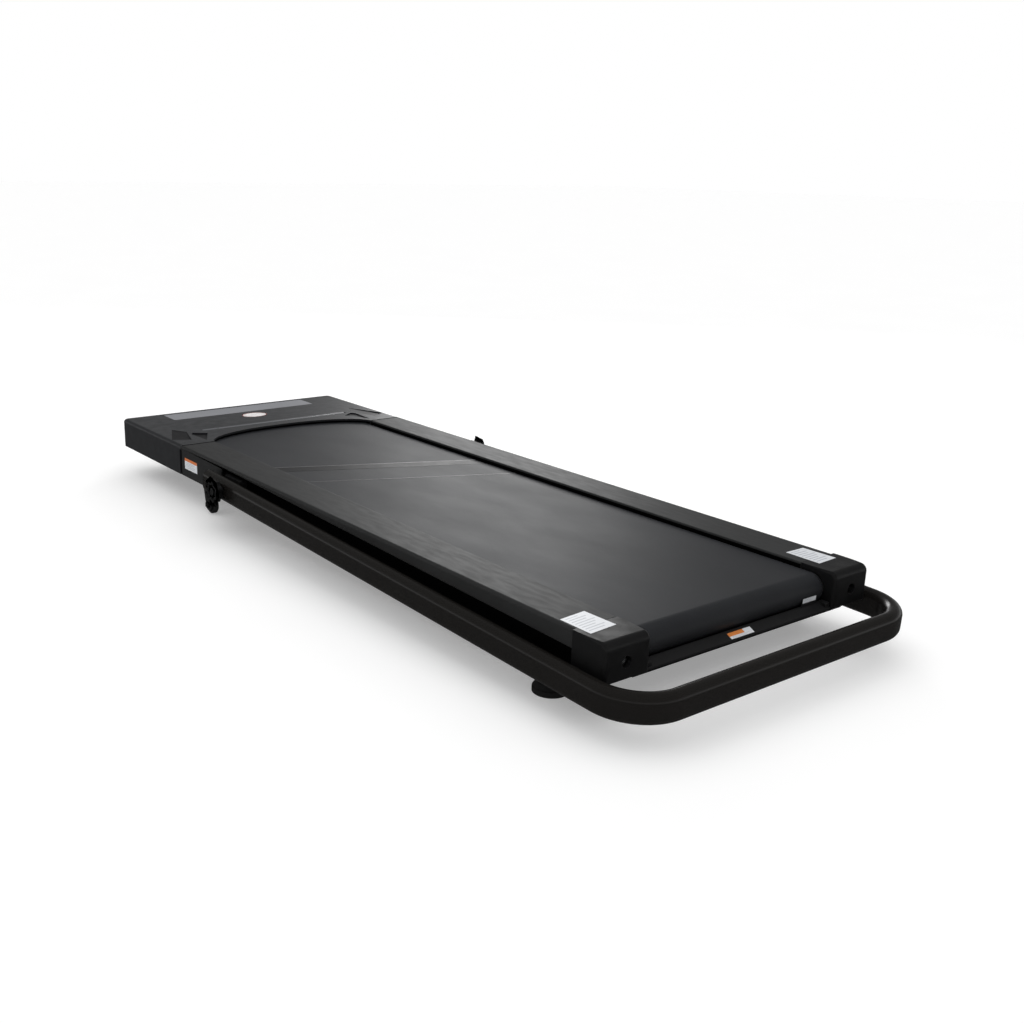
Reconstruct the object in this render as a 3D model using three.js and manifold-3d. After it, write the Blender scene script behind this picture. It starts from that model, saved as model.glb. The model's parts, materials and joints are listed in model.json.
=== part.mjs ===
// A flat walking treadmill whose U-shaped handrail is folded down around the deck.
// Millimetres, +X to the walker's right, +Y towards the motor hood, +Z up, floor at Z = 0.

import * as THREE from 'three';
import { mergeVertices } from 'three/addons/utils/BufferGeometryUtils.js';
import Module from 'manifold-3d';

const wasm = await Module();
wasm.setup();

// ---------------------------------------------------------------- driving dimensions

const GAP = 0.3; // between pieces that touch

const DECK_WIDTH = 530; // over both foot rails
const WALKWAY_WIDTH = 380; // clear width between the foot rails
const TOP_HEIGHT = 116; // floor to the top of the rails and the hood
const RAIL_HEIGHT = 60; // visible side of rails and hood
const SKIN = 3; // wall of the plastic mouldings
const TOP_SKIN = 4; // wall that is stood on

const HOOD_LENGTH = 300;
const HOOD_GAP = 3; // dark joint between hood and rails
const HOOD_EDGE = 7; // rounding of the hood's upper edges
const HOOD_CORNER = 12; // rounding of the hood in plan
const ARCH_DEPTH = 69; // how far the hood's rear lip arches forward
const ARCH_FULLNESS = 2.4; // exponents of the arch's curve, across and along
const ARCH_SQUARENESS = 0.6;
const ARCH_STEPS = 36;
const RAIL_LENGTH = 1202; // rear face of the end caps to the hood joint
const RECESS_STEP = 1.5; // depth of the hood's shallow recesses
const HOOD_RECESSES = [ // their corners, from the middle and from the hood's rear face
  [[174, 38], [208, 78], [232, 78], [205, 44], [205, 38]],
  [[211, 38], [238, 70], [246, 60], [232, 38]],
];

const BELT_DROP = 8; // belt surface below the rail tops
const BELT_WIDTH = 372;
const BELT_THICKNESS = 1.7;
const ROLLER_RADIUS = 21;
const ROLLER_REACH = 4; // roller past the belt's edge, each side
const ROLLER_WALL = 3;
const AXLE_RADIUS = 6;
const AXLE_END = 15; // how far an axle reaches into the side member
const BEARING_RADIUS = 14;
const BEARING_WIDTH = 11;
const REAR_ROLLER_Y = 40;
const FRONT_ROLLER_Y = 1310;

const DECK_THICKNESS = 15;
const CUSHION_THICKNESS = 4;
const BEAM_CLEARANCE = 6.7; // beams above the belt's return run
const BEAM_LENGTH = 40; // along the deck
const BEAM_POSITIONS = { rear: 150, middle: 620, front: 1150 };

const MEMBER_WIDTH = 30;
const MEMBER_HEIGHT = 46;
const MEMBER_WALL = 2.5;
const MEMBER_INSET = 19; // rail's outer side to the side member's outer side
const MEMBER_START = 12;
const PAN_THICKNESS = 3.4;
const GUARD_START = 3; // end caps' rear face to the rear plate
const GUARD_PLATE = 3; // the rear plate's thickness
const GUARD_REACH = 15; // how far its sloping guard runs forward
const REAR_BAR_END = 36; // how far forward the bar under it runs

const CAP_LENGTH = 60;
const CAP_PROUD = 3; // end cap past the rail's side
const CAP_HEIGHT = 54;
const CAP_ROUND = 8;
const BOLT_HOLE_RADIUS = 8;
const BOLT_RADIUS = 4;
const BOLT_HEAD_RADIUS = 6.5;

const RECESS_DEPTH = 10; // side recess that the handrail lies beside
const RECESS_FRONT = 1025;
const RECESS_LIP_FRONT = 5.5; // lip height at the recess's front end
const RECESS_SLOPE = 0.0225; // the lip grows towards the rear

const TUBE_WIDTH = 25; // handrail tube, a flat oval on edge
const TUBE_HEIGHT = 42;
const TUBE_WALL = 2;
const TUBE_GAP = 5.5; // rail side to handrail leg
const TUBE_CORNER = 69; // bend radius on the tube's centre line
const BAR_Y = -70; // handrail bar's centre behind the end caps
const PIVOT_Y = 973;
const PIVOT_HEIGHT = 82;
const PIVOT_TO_LEG_END = 69;
const FOLDED_SLOPE = 1.65; // degrees that the folded handrail falls to the rear
const PIVOT_PLATE = 60;
const STUD_RADIUS = 5;
const BUSH_WALL = 3;
const RUNNING = 0.3; // radial clearance of turning pieces

const KNOB_RADIUS = 20;
const KNOB_LOBES = 7;
const KNOB_THICKNESS = 14;

const WHEEL_RADIUS = 18;
const WHEEL_WIDTH = 10;
const WHEEL_Y = 1100;
const WHEEL_PLATE = 3;
const FOOT_RADIUS = 25;
const FOOT_Y = 124;
const FOOT_X = 240;
const FOOT_PLATE = 4; // thickness of the plate welded over each foot

const WINDOW_SIZE = [350, 58];
const WINDOW_FROM_FRONT = 46; // hood front to the window's middle
const WINDOW_THICKNESS = 2;
const WINDOW_LEDGE = 4; // what the window rests on, all round
const DISPLAY_BOARD = [300, 40, 1.6];
const DISPLAY_DROP = 4.4; // roof to the display board's upper face
const BADGE_SIZE = [58, 42];
const BADGE_FROM_FRONT = 114;
const BADGE_THICKNESS = 1;

const MOTOR_RADIUS = 25.5;
const MOTOR_LENGTH = 150;
const MOTOR_WALL = 4;
const MOTOR_Y = 1400;
const SHAFT_RADIUS = 5;
const MOTOR_PULLEY_RADIUS = 10;
const PULLEY_OVER_ROLLER = 2.5; // the roller's pulley past the roller's radius
const PULLEY_WIDTH = 14;
const DRIVE_BELT_THICKNESS = 2.4;

const CONTROLLER_X = -155;
const CONTROLLER_Y = 1380;
const CONTROLLER_SIZE = [82, 44, 16];
const CONTROLLER_LIFT = 4; // above the side members' lower faces
const FIN_COUNT = 8;
const FIN_PITCH = 10;
const FIN_THICKNESS = 4;
const FIN_HEIGHT = 16;
const INLET_X = -150; // one module holds the mains inlet and the switch
const SWITCH_X = -116;
const BREAKER_X = -70;
const MODULE_EDGE = 18; // inlet or switch middle to the module's end
const MODULE_HALF = 14;
const BUTTON_RADIUS = 5;
const BUTTON_PROUD = 5;
const BUTTON_TRAVEL_ROOM = 4;

// ---------------------------------------------------------------- derived places

const HALF = DECK_WIDTH / 2;
const WALK_HALF = WALKWAY_WIDTH / 2;
const RAIL_BOTTOM = TOP_HEIGHT - RAIL_HEIGHT;
const HOOD_REAR = RAIL_LENGTH + HOOD_GAP;
const HOOD_FRONT = HOOD_REAR + HOOD_LENGTH;
const BELT_TOP = TOP_HEIGHT - BELT_DROP;
const BELT_RADIUS = ROLLER_RADIUS + GAP + BELT_THICKNESS;
const ROLLER_HEIGHT = BELT_TOP - BELT_RADIUS;
const ROLLER_PULLEY_RADIUS = ROLLER_RADIUS + PULLEY_OVER_ROLLER;
const DECK_TOP = BELT_TOP - BELT_THICKNESS - GAP;
const DECK_BOTTOM = DECK_TOP - DECK_THICKNESS;
const BEAM_TOP = DECK_BOTTOM - CUSHION_THICKNESS - 2 * GAP;
const BEAM_DEPTH = BEAM_TOP - (ROLLER_HEIGHT - ROLLER_RADIUS - GAP) - BEAM_CLEARANCE;
const MEMBER_OUT = HALF - MEMBER_INSET;
const MEMBER_IN = MEMBER_OUT - MEMBER_WIDTH;
const MEMBER_MIDDLE = MEMBER_OUT - MEMBER_WIDTH / 2;
const MEMBER_BOTTOM = RAIL_BOTTOM;
const MEMBER_TOP = MEMBER_BOTTOM + MEMBER_HEIGHT;
const UNDER_MEMBER = MEMBER_BOTTOM - GAP;
const ROLLER_END = BELT_WIDTH / 2 + ROLLER_REACH;
const AXLE_REACH = MEMBER_IN + AXLE_END;
const LEG_IN = HALF + TUBE_GAP;
const LEG_X = LEG_IN + TUBE_WIDTH / 2;
const LEG_OUT = LEG_IN + TUBE_WIDTH;
const MOTOR_HEIGHT = (TOP_HEIGHT - TOP_SKIN + RAIL_BOTTOM) / 2;
const PULLEY_IN = ROLLER_END + SKIN;
const PULLEY_OUT = PULLEY_IN + PULLEY_WIDTH;
const INLET_Z = TOP_HEIGHT - 26;

// ---------------------------------------------------------------- materials

function material(color, roughness, metalness) {
  return new THREE.MeshStandardMaterial({ color, roughness, metalness });
}

const FINISH = {
  shell: material(0x2b2d30, 0.5, 0),
  rail: material(0x35373a, 0.45, 0),
  glass: material(0x6a6e74, 0.15, 0),
  badge: material(0xd9dadc, 0.35, 0.4),
  frame: material(0x1d1e20, 0.4, 0.5),
  tube: material(0x2c2a29, 0.3, 0.5),
  belt: material(0x3c3e42, 0.85, 0),
  rubber: material(0x141414, 0.9, 0),
  board: material(0x6d5a40, 0.8, 0),
  circuit: material(0x184a2a, 0.6, 0),
  steel: material(0x8e9296, 0.35, 0.9),
  zinc: material(0xb4b6b8, 0.3, 0.9),
  motor: material(0x232425, 0.5, 0.6),
  knob: material(0x18191b, 0.6, 0),
  button: material(0xb02018, 0.4, 0),
};

// ---------------------------------------------------------------- solids

function toSolid(geometry) {
  const bare = geometry.clone();
  bare.deleteAttribute('normal');
  bare.deleteAttribute('uv');
  const merged = mergeVertices(bare, 1e-4);
  return new wasm.Manifold(new wasm.Mesh({
    numProp: 3,
    vertProperties: new Float32Array(merged.attributes.position.array),
    triVerts: new Uint32Array(merged.index.array),
  }));
}

function toGeometry(solid) {
  const mesh = solid.getMesh();
  const geometry = new THREE.BufferGeometry();
  geometry.setAttribute('position', new THREE.BufferAttribute(mesh.vertProperties, 3));
  geometry.setIndex(new THREE.BufferAttribute(mesh.triVerts, 1));
  geometry.computeVertexNormals();
  return geometry;
}

function cut(base, ...tools) {
  let solid = toSolid(base);
  for (const tool of tools) {
    solid = solid.subtract(toSolid(tool));
  }
  return toGeometry(solid);
}

function join(base, ...others) {
  let solid = toSolid(base);
  for (const other of others) {
    solid = solid.add(toSolid(other));
  }
  return toGeometry(solid);
}

function common(base, other) {
  return toGeometry(toSolid(base).intersect(toSolid(other)));
}

// A box between two values on each axis, given in either order.
function box([xa, xb], [ya, yb], [za, zb]) {
  const geometry = new THREE.BoxGeometry(Math.abs(xb - xa), Math.abs(yb - ya), Math.abs(zb - za));
  return geometry.translate((xa + xb) / 2, (ya + yb) / 2, (za + zb) / 2);
}

function outline(points, holes = []) {
  const shape = new THREE.Shape(points.map(([a, b]) => new THREE.Vector2(a, b)));
  for (const hole of holes) {
    shape.holes.push(new THREE.Path(hole.map(([a, b]) => new THREE.Vector2(a, b))));
  }
  return shape;
}

function extrude(shape, depth) {
  return new THREE.ExtrudeGeometry(shape, { depth, bevelEnabled: false, curveSegments: 6 });
}

// Prism along X of an outline drawn in (Y, Z).
function prismX(points, xa, xb, holes = []) {
  const low = Math.min(xa, xb);
  const turn = new THREE.Matrix4().makeBasis(
    new THREE.Vector3(0, 1, 0), new THREE.Vector3(0, 0, 1), new THREE.Vector3(1, 0, 0));
  return extrude(outline(points, holes), Math.abs(xb - xa)).applyMatrix4(turn).translate(low, 0, 0);
}

// Prism along Y of an outline drawn in (X, Z).
function prismY(points, ya, yb, holes = []) {
  const high = Math.max(ya, yb);
  const turned = extrude(outline(points, holes), Math.abs(yb - ya)).rotateX(Math.PI / 2);
  return turned.translate(0, high, 0);
}

// Prism along Z of an outline drawn in (X, Y).
function prismZ(points, za, zb, holes = []) {
  const low = Math.min(za, zb);
  return extrude(outline(points, holes), Math.abs(zb - za)).translate(0, 0, low);
}

function cylinderX(y, z, radius, xa, xb, sides = 24) {
  const geometry = new THREE.CylinderGeometry(radius, radius, Math.abs(xb - xa), sides);
  return geometry.rotateZ(Math.PI / 2).translate((xa + xb) / 2, y, z);
}

function cylinderY(x, z, radius, ya, yb, sides = 24) {
  const geometry = new THREE.CylinderGeometry(radius, radius, Math.abs(yb - ya), sides);
  return geometry.translate(x, (ya + yb) / 2, z);
}

function cylinderZ(x, y, radius, za, zb, sides = 24) {
  const geometry = new THREE.CylinderGeometry(radius, radius, Math.abs(zb - za), sides);
  return geometry.rotateX(Math.PI / 2).translate(x, y, (za + zb) / 2);
}

// A turned solid on an axis along X from a profile of [x, radius] points that closes on itself.
function turnedX(profile, y, z, sides = 24) {
  const points = profile.map(([x, r]) => new THREE.Vector2(r, x));
  const first = points[0];
  points.push(first.clone());
  const geometry = new THREE.LatheGeometry(points, sides);
  const solid = toSolid(geometry.rotateZ(-Math.PI / 2));
  const upright = solid.volume() < 0 ? toSolid(flipped(geometry)) : solid;
  return toGeometry(upright).translate(0, y, z);
}

function flipped(geometry) {
  const copy = geometry.clone();
  const index = copy.index.array;
  for (let i = 0; i < index.length; i += 3) {
    const swap = index[i];
    index[i] = index[i + 1];
    index[i + 1] = swap;
  }
  return copy;
}

function arc(cx, cy, radius, fromDegrees, toDegrees, steps) {
  const points = [];
  for (let i = 0; i <= steps; i += 1) {
    const angle = THREE.MathUtils.degToRad(fromDegrees + ((toDegrees - fromDegrees) * i) / steps);
    points.push([cx + radius * Math.cos(angle), cy + radius * Math.sin(angle)]);
  }
  return points;
}

function roundedRectangle(cx, cy, width, height, radius, steps = 3) {
  const a = width / 2 - radius;
  const b = height / 2 - radius;
  return [
    ...arc(cx + a, cy + b, radius, 0, 90, steps),
    ...arc(cx - a, cy + b, radius, 90, 180, steps),
    ...arc(cx - a, cy - b, radius, 180, 270, steps),
    ...arc(cx + a, cy - b, radius, 270, 360, steps),
  ];
}

function ellipse(cx, cy, width, height, steps = 24) {
  const points = arc(0, 0, 1, 0, 360 - 360 / steps, steps - 1);
  return points.map(([a, b]) => [cx + (a * width) / 2, cy + (b * height) / 2]);
}

// ---------------------------------------------------------------- scene graph

// How far behind the pivot axis the folded handrail reaches.
function foldedReach() {
  const slope = THREE.MathUtils.degToRad(FOLDED_SLOPE);
  const flank = (TUBE_HEIGHT - TUBE_WIDTH) / 2;
  const round = TUBE_WIDTH / 2;
  return (PIVOT_Y - BAR_Y) * Math.cos(slope) + flank * Math.sin(slope) + round;
}

const treadmill = new THREE.Group();
const deck = new THREE.Group();
deck.position.y = -(HOOD_FRONT + BUTTON_PROUD + PIVOT_Y - foldedReach()) / 2;
treadmill.add(deck);

const handrail = new THREE.Group();
handrail.position.set(0, PIVOT_Y, PIVOT_HEIGHT);
handrail.rotation.x = THREE.MathUtils.degToRad(FOLDED_SLOPE);
deck.add(handrail);

function add(name, geometry, finish, parent = deck) {
  const mesh = new THREE.Mesh(geometry, finish);
  mesh.name = name;
  parent.add(mesh);
  return mesh;
}

const SIDES = [['left', -1], ['right', 1]];

// ---------------------------------------------------------------- hood

// Opening over the belt's front end, a wide arch that starts at the hood's rear face.
function archOutline() {
  const behind = HOOD_REAR - SKIN;
  const points = [[-WALK_HALF, behind]];
  for (let i = 0; i <= ARCH_STEPS; i += 1) {
    const share = -Math.cos((Math.PI * i) / ARCH_STEPS);
    const inner = Math.max(0, 1 - Math.abs(share) ** ARCH_FULLNESS);
    points.push([WALK_HALF * share, HOOD_REAR + ARCH_DEPTH * inner ** ARCH_SQUARENESS]);
  }
  points.push([WALK_HALF, behind]);
  return points;
}

function hoodBlank() {
  const middle = (HOOD_REAR + HOOD_FRONT) / 2;
  const plan = outline(roundedRectangle(0, middle, DECK_WIDTH, HOOD_LENGTH, HOOD_CORNER));
  const rough = new THREE.ExtrudeGeometry(plan, {
    depth: RAIL_HEIGHT,
    bevelThickness: HOOD_EDGE,
    bevelSize: HOOD_EDGE,
    bevelOffset: -HOOD_EDGE,
    bevelSegments: 3,
  }).translate(0, 0, RAIL_BOTTOM - HOOD_EDGE);
  const height = [RAIL_BOTTOM, TOP_HEIGHT + 1];
  return common(rough, box([-DECK_WIDTH, DECK_WIDTH], [HOOD_REAR - 1, HOOD_FRONT + 1], height));
}

function frontFaceOpenings() {
  const y = [HOOD_FRONT - 2 * SKIN, HOOD_FRONT + 1];
  return [
    box([INLET_X - MODULE_EDGE - GAP, SWITCH_X + MODULE_EDGE + GAP], y,
      [INLET_Z - MODULE_HALF - GAP, INLET_Z + MODULE_HALF + GAP]),
    cylinderY(BREAKER_X, INLET_Z, BUTTON_RADIUS + SKIN + GAP, ...y),
  ];
}

function buildHood() {
  const middle = (HOOD_REAR + HOOD_FRONT) / 2;
  const roof = TOP_HEIGHT - TOP_SKIN;
  const plan = [DECK_WIDTH - 2 * SKIN, HOOD_LENGTH - 2 * SKIN];
  const cavity = prismZ(roundedRectangle(0, middle, ...plan, HOOD_CORNER - SKIN), RAIL_BOTTOM - 1, roof);
  const mouth = box([-WALK_HALF, WALK_HALF], [HOOD_REAR - 1, HOOD_REAR + 2 * SKIN],
    [RAIL_BOTTOM - 1, roof]);
  const frameMouth = box([-(MEMBER_OUT + 1), MEMBER_OUT + 1], [HOOD_REAR - 1, HOOD_REAR + 2 * SKIN],
    [RAIL_BOTTOM - 1, Math.max(MEMBER_TOP, DECK_TOP) + 1]);
  const windowY = HOOD_FRONT - WINDOW_FROM_FRONT;
  const pocket = windowOutline(windowY, GAP);
  const ledge = windowOutline(windowY, -WINDOW_LEDGE);
  const badgeY = HOOD_FRONT - BADGE_FROM_FRONT;
  const badgePocket = ellipse(0, badgeY, BADGE_SIZE[0] + 2 * GAP, BADGE_SIZE[1] + 2 * GAP);
  add('hood_cover', cut(
    hoodBlank(),
    cavity,
    mouth,
    frameMouth,
    prismZ(archOutline(), roof - 1, TOP_HEIGHT + 1),
    prismZ(pocket, TOP_HEIGHT - WINDOW_THICKNESS - GAP, TOP_HEIGHT + 1),
    prismZ(ledge, roof - 1, TOP_HEIGHT),
    prismZ(badgePocket, TOP_HEIGHT - BADGE_THICKNESS - GAP, TOP_HEIGHT + 1),
    ...frontFaceOpenings(),
    ...hoodRecesses()), FINISH.shell);
  add('display_window', prismZ(windowOutline(windowY, 0), TOP_HEIGHT - WINDOW_THICKNESS, TOP_HEIGHT),
    FINISH.glass);
  add('badge_plate', prismZ(ellipse(0, badgeY, ...BADGE_SIZE), TOP_HEIGHT - BADGE_THICKNESS, TOP_HEIGHT),
    FINISH.badge);
}

// The display window's outline, widened all round by grow.
function windowOutline(middleY, grow) {
  const [width, length] = WINDOW_SIZE;
  return roundedRectangle(0, middleY, width + 2 * grow, length + 2 * grow, 3 + Math.max(grow, 0), 2);
}

// Shallow chevron recesses beside the arch.
function hoodRecesses() {
  const z = [TOP_HEIGHT - RECESS_STEP, TOP_HEIGHT + 1];
  return SIDES.flatMap(([, side]) => HOOD_RECESSES.map((points) => prismZ(
    points.map(([x, y]) => [side * x, HOOD_REAR + y]), ...z)));
}

// ---------------------------------------------------------------- electronics in the hood

function buildElectronics() {
  const windowY = HOOD_FRONT - WINDOW_FROM_FRONT;
  const roof = TOP_HEIGHT - TOP_SKIN;
  const [width, length, thickness] = DISPLAY_BOARD;
  const boardTop = roof - DISPLAY_DROP;
  const board = box([-width / 2, width / 2], [windowY - length / 2, windowY + length / 2],
    [boardTop - thickness, boardTop]);
  add('display_board', board, FINISH.circuit);
  add('motor_controller', controller(), FINISH.steel);
  add('power_inlet', powerInlet(), FINISH.shell);
  add('rocker_switch', rocker(), FINISH.button);
  const seatY = HOOD_FRONT - 18;
  const collar = cylinderY(BREAKER_X, INLET_Z, BUTTON_RADIUS + SKIN, seatY, HOOD_FRONT + 2, 16);
  const bore = cylinderY(BREAKER_X, INLET_Z, BUTTON_RADIUS + RUNNING, seatY + 4, HOOD_FRONT + 3, 16);
  add('breaker_housing', cut(collar, bore), FINISH.shell);
  const buttonBack = seatY + 4 + BUTTON_TRAVEL_ROOM;
  const button = cylinderY(BREAKER_X, INLET_Z, BUTTON_RADIUS, buttonBack, HOOD_FRONT + BUTTON_PROUD, 16);
  add('breaker_button', button, FINISH.button);
}

function controller() {
  const [width, length, height] = CONTROLLER_SIZE;
  const low = MEMBER_BOTTOM + CONTROLLER_LIFT;
  const y = [CONTROLLER_Y - length / 2, CONTROLLER_Y + length / 2];
  const base = box([CONTROLLER_X - width / 2, CONTROLLER_X + width / 2], y, [low, low + height]);
  const fins = [];
  for (let i = 0; i < FIN_COUNT; i += 1) {
    const x = CONTROLLER_X + (i - (FIN_COUNT - 1) / 2) * FIN_PITCH;
    fins.push(box([x - FIN_THICKNESS / 2, x + FIN_THICKNESS / 2], [y[0] + 2, y[1] - 2],
      [low + height - 2, low + height + FIN_HEIGHT]));
  }
  return join(base, ...fins);
}

function powerInlet() {
  const z = [INLET_Z - MODULE_HALF, INLET_Z + MODULE_HALF];
  const y = [HOOD_FRONT - 26, HOOD_FRONT + 1.5];
  const body = box([INLET_X - MODULE_EDGE, SWITCH_X + MODULE_EDGE], y, z);
  const well = box([SWITCH_X - 7.5, SWITCH_X + 7.5], [HOOD_FRONT - 15, y[1] + 1], [z[0] + 2.5, z[1] - 2.5]);
  const socket = box([INLET_X - 12, INLET_X + 12], [HOOD_FRONT - 18, HOOD_FRONT + 2],
    [INLET_Z - 8.5, INLET_Z + 8.5]);
  const pins = [[-7, 0], [0, 3], [7, 0]].map(([x, z]) => box(
    [INLET_X + x - 1, INLET_X + x + 1],
    [HOOD_FRONT - 19, HOOD_FRONT - 5],
    [INLET_Z + z - 2, INLET_Z + z + 2]));
  return join(cut(body, socket, well), ...pins);
}

function rocker() {
  const y = HOOD_FRONT;
  const profile = [
    [y - 9, INLET_Z - 6], [y + 1, INLET_Z - 10.5], [y + 4, INLET_Z - 10],
    [y + 1.5, INLET_Z], [y + 4, INLET_Z + 10], [y + 1, INLET_Z + 10.5], [y - 9, INLET_Z + 6],
  ];
  return prismX(profile, SWITCH_X - 7, SWITCH_X + 7);
}

// ---------------------------------------------------------------- foot rails and end caps

function recessLip(y) {
  return TOP_HEIGHT - RECESS_LIP_FRONT - (RECESS_FRONT - y) * RECESS_SLOPE;
}

function railProfile(side) {
  const edge = 2;
  const ribIn = MEMBER_MIDDLE - 8;
  const ribOut = MEMBER_MIDDLE + 8;
  const under = TOP_HEIGHT - TOP_SKIN;
  const innerWall = HALF - RECESS_DEPTH - SKIN;
  const points = [
    [WALK_HALF, DECK_TOP + 1], [WALK_HALF, TOP_HEIGHT - edge], [WALK_HALF + edge, TOP_HEIGHT],
    [HALF - edge, TOP_HEIGHT], [HALF, TOP_HEIGHT - edge], [HALF, RAIL_BOTTOM],
    [innerWall, RAIL_BOTTOM], [innerWall, under],
    [ribOut, under], [ribOut, MEMBER_TOP + GAP], [ribIn, MEMBER_TOP + GAP], [ribIn, under],
    [WALK_HALF + SKIN, under], [WALK_HALF + SKIN, DECK_TOP + 1],
  ];
  return points.map(([x, z]) => [side * x, z]);
}

function railCavity(side) {
  const low = RAIL_BOTTOM + SKIN;
  const x = [side * (HALF - RECESS_DEPTH), side * (HALF - SKIN)];
  return box(x, [CAP_LENGTH - 1, RAIL_LENGTH + 1], [low, TOP_HEIGHT - TOP_SKIN]);
}

function buildRail(name, side) {
  const recess = prismX([
    [CAP_LENGTH - 1, recessLip(CAP_LENGTH - 1)],
    [RECESS_FRONT, recessLip(RECESS_FRONT)],
    [RECESS_FRONT, RAIL_BOTTOM - 1],
    [CAP_LENGTH - 1, RAIL_BOTTOM - 1],
  ], side * (HALF - RECESS_DEPTH), side * (HALF + 1));
  const plate = PIVOT_PLATE / 2 + 0.5;
  const opening = box(
    [side * (HALF - 2 * RECESS_DEPTH), side * HALF],
    [PIVOT_Y - plate, PIVOT_Y + plate],
    [PIVOT_HEIGHT - TUBE_HEIGHT / 2 - 1, PIVOT_HEIGHT + TUBE_HEIGHT / 2 + 0.5]);
  const blank = prismY(railProfile(side), CAP_LENGTH + GAP, RAIL_LENGTH);
  add(`foot_rail_${name}`, cut(blank, railCavity(side), recess, opening), FINISH.rail);
}

function buildEndCap(name, side) {
  const width = HALF + CAP_PROUD - WALK_HALF;
  const middle = WALK_HALF + width / 2;
  const low = TOP_HEIGHT - CAP_HEIGHT;
  const shell = prismY(
    roundedRectangle(side * middle, low + CAP_HEIGHT / 2, width, CAP_HEIGHT, 2, 2), 0, CAP_LENGTH);
  const roundOff = capRounding(side);
  const inside = box(
    [side * (WALK_HALF + SKIN), side * (HALF + CAP_PROUD - SKIN)],
    [SKIN + 5, CAP_LENGTH + 1],
    [low - 1, TOP_HEIGHT - TOP_SKIN]);
  const axleSlot = box(
    [side * (WALK_HALF - 1), side * (WALK_HALF + 2 * SKIN)],
    [REAR_ROLLER_Y - 12, CAP_LENGTH + 1],
    [ROLLER_HEIGHT - AXLE_RADIUS - 2, ROLLER_HEIGHT + AXLE_RADIUS + 2]);
  const boltHole = cylinderY(side * MEMBER_MIDDLE, ROLLER_HEIGHT, BOLT_HOLE_RADIUS, -1, SKIN + 6, 20);
  add(`end_cap_${name}`, cut(shell, roundOff, inside, axleSlot, boltHole), FINISH.shell);
}

// What is cut away to round the end cap's rear top edge.
function capRounding(side) {
  const z = TOP_HEIGHT - CAP_ROUND;
  const rounding = arc(CAP_ROUND, z, CAP_ROUND, 180, 90, 5);
  const waste = [[-1, z], ...rounding, [CAP_ROUND, TOP_HEIGHT + 1], [-1, TOP_HEIGHT + 1]];
  return prismX(waste, side * (WALK_HALF - 1), side * (HALF + CAP_PROUD + 1));
}

// ---------------------------------------------------------------- frame

function buildSideMember(name, side) {
  const y = [MEMBER_START, HOOD_FRONT - 12];
  const z = [MEMBER_BOTTOM, MEMBER_TOP];
  const tube = box([side * MEMBER_IN, side * MEMBER_OUT], y, z);
  const inside = box(
    [side * (MEMBER_IN + MEMBER_WALL), side * (MEMBER_OUT - MEMBER_WALL)],
    [MEMBER_START + MEMBER_WALL, y[1] + 1],
    [z[0] + MEMBER_WALL, z[1] - MEMBER_WALL]);
  const wall = [side * (MEMBER_IN - 1), side * (MEMBER_IN + 2 * MEMBER_WALL)];
  const slide = box(wall, [REAR_ROLLER_Y - 14, REAR_ROLLER_Y + 16],
    [ROLLER_HEIGHT - AXLE_RADIUS - GAP, ROLLER_HEIGHT + AXLE_RADIUS + GAP]);
  const seat = cylinderX(FRONT_ROLLER_Y, ROLLER_HEIGHT, AXLE_RADIUS + GAP, ...wall);
  const boltHole = cylinderY(side * MEMBER_MIDDLE, ROLLER_HEIGHT, BOLT_RADIUS + GAP, y[0] - 1, y[0] + 5, 16);
  const footPlate = box([side * (MEMBER_IN - 4), side * (HALF - 1)], [FOOT_Y - 24, FOOT_Y + 24],
    [MEMBER_BOTTOM - FOOT_PLATE, MEMBER_BOTTOM]);
  const weldment = join(tube, footPlate);
  add(`side_member_${name}`, cut(weldment, inside, slide, seat, boltHole), FINISH.frame);
}

function hollowBeam(x, y, z, wall) {
  const inside = box([x[0] - 1, x[1] + 1], [y[0] + wall, y[1] - wall], [z[0] + wall, z[1] - wall]);
  return cut(box(x, y, z), inside);
}

function buildBeams() {
  const reach = MEMBER_IN - GAP;
  for (const [name, y] of Object.entries(BEAM_POSITIONS)) {
    const span = [y - BEAM_LENGTH / 2, y + BEAM_LENGTH / 2];
    add(`deck_beam_${name}`, hollowBeam([-reach, reach], span, [BEAM_TOP - BEAM_DEPTH, BEAM_TOP], 2),
      FINISH.frame);
    const pad = [y - BEAM_LENGTH / 4, y + BEAM_LENGTH / 4];
    add(`deck_cushion_${name}`,
      box([-WALK_HALF, WALK_HALF], pad, [BEAM_TOP + GAP, BEAM_TOP + GAP + CUSHION_THICKNESS]),
      FINISH.rubber);
  }
  const noseY = [HOOD_FRONT - 38, HOOD_FRONT - 14];
  add('front_cross_member', hollowBeam([-reach, reach], noseY, [MEMBER_BOTTOM + 2, MEMBER_BOTTOM + 14], 2),
    FINISH.frame);
}

// Rear bar between the side members, with a sloping guard under the belt's end.
function buildRearCrossMember() {
  const capBottom = TOP_HEIGHT - CAP_HEIGHT;
  const top = capBottom - GAP;
  const low = top - GUARD_PLATE;
  const reach = MEMBER_IN - GAP;
  const back = GUARD_START;
  const face = GUARD_START + GUARD_PLATE;
  const end = GUARD_START + GUARD_REACH;
  const bar = box([-reach, reach], [back, REAR_BAR_END], [low, top]);
  const guard = prismX([
    [back, low], [face, low], [face, capBottom], [end + 1.5, capBottom + 7],
    [end, capBottom + 9.6], [back, capBottom + 1.8],
  ], -(WALK_HALF - 2 * GAP), WALK_HALF - 2 * GAP);
  add('rear_cross_member', join(bar, guard), FINISH.frame);
}

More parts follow.
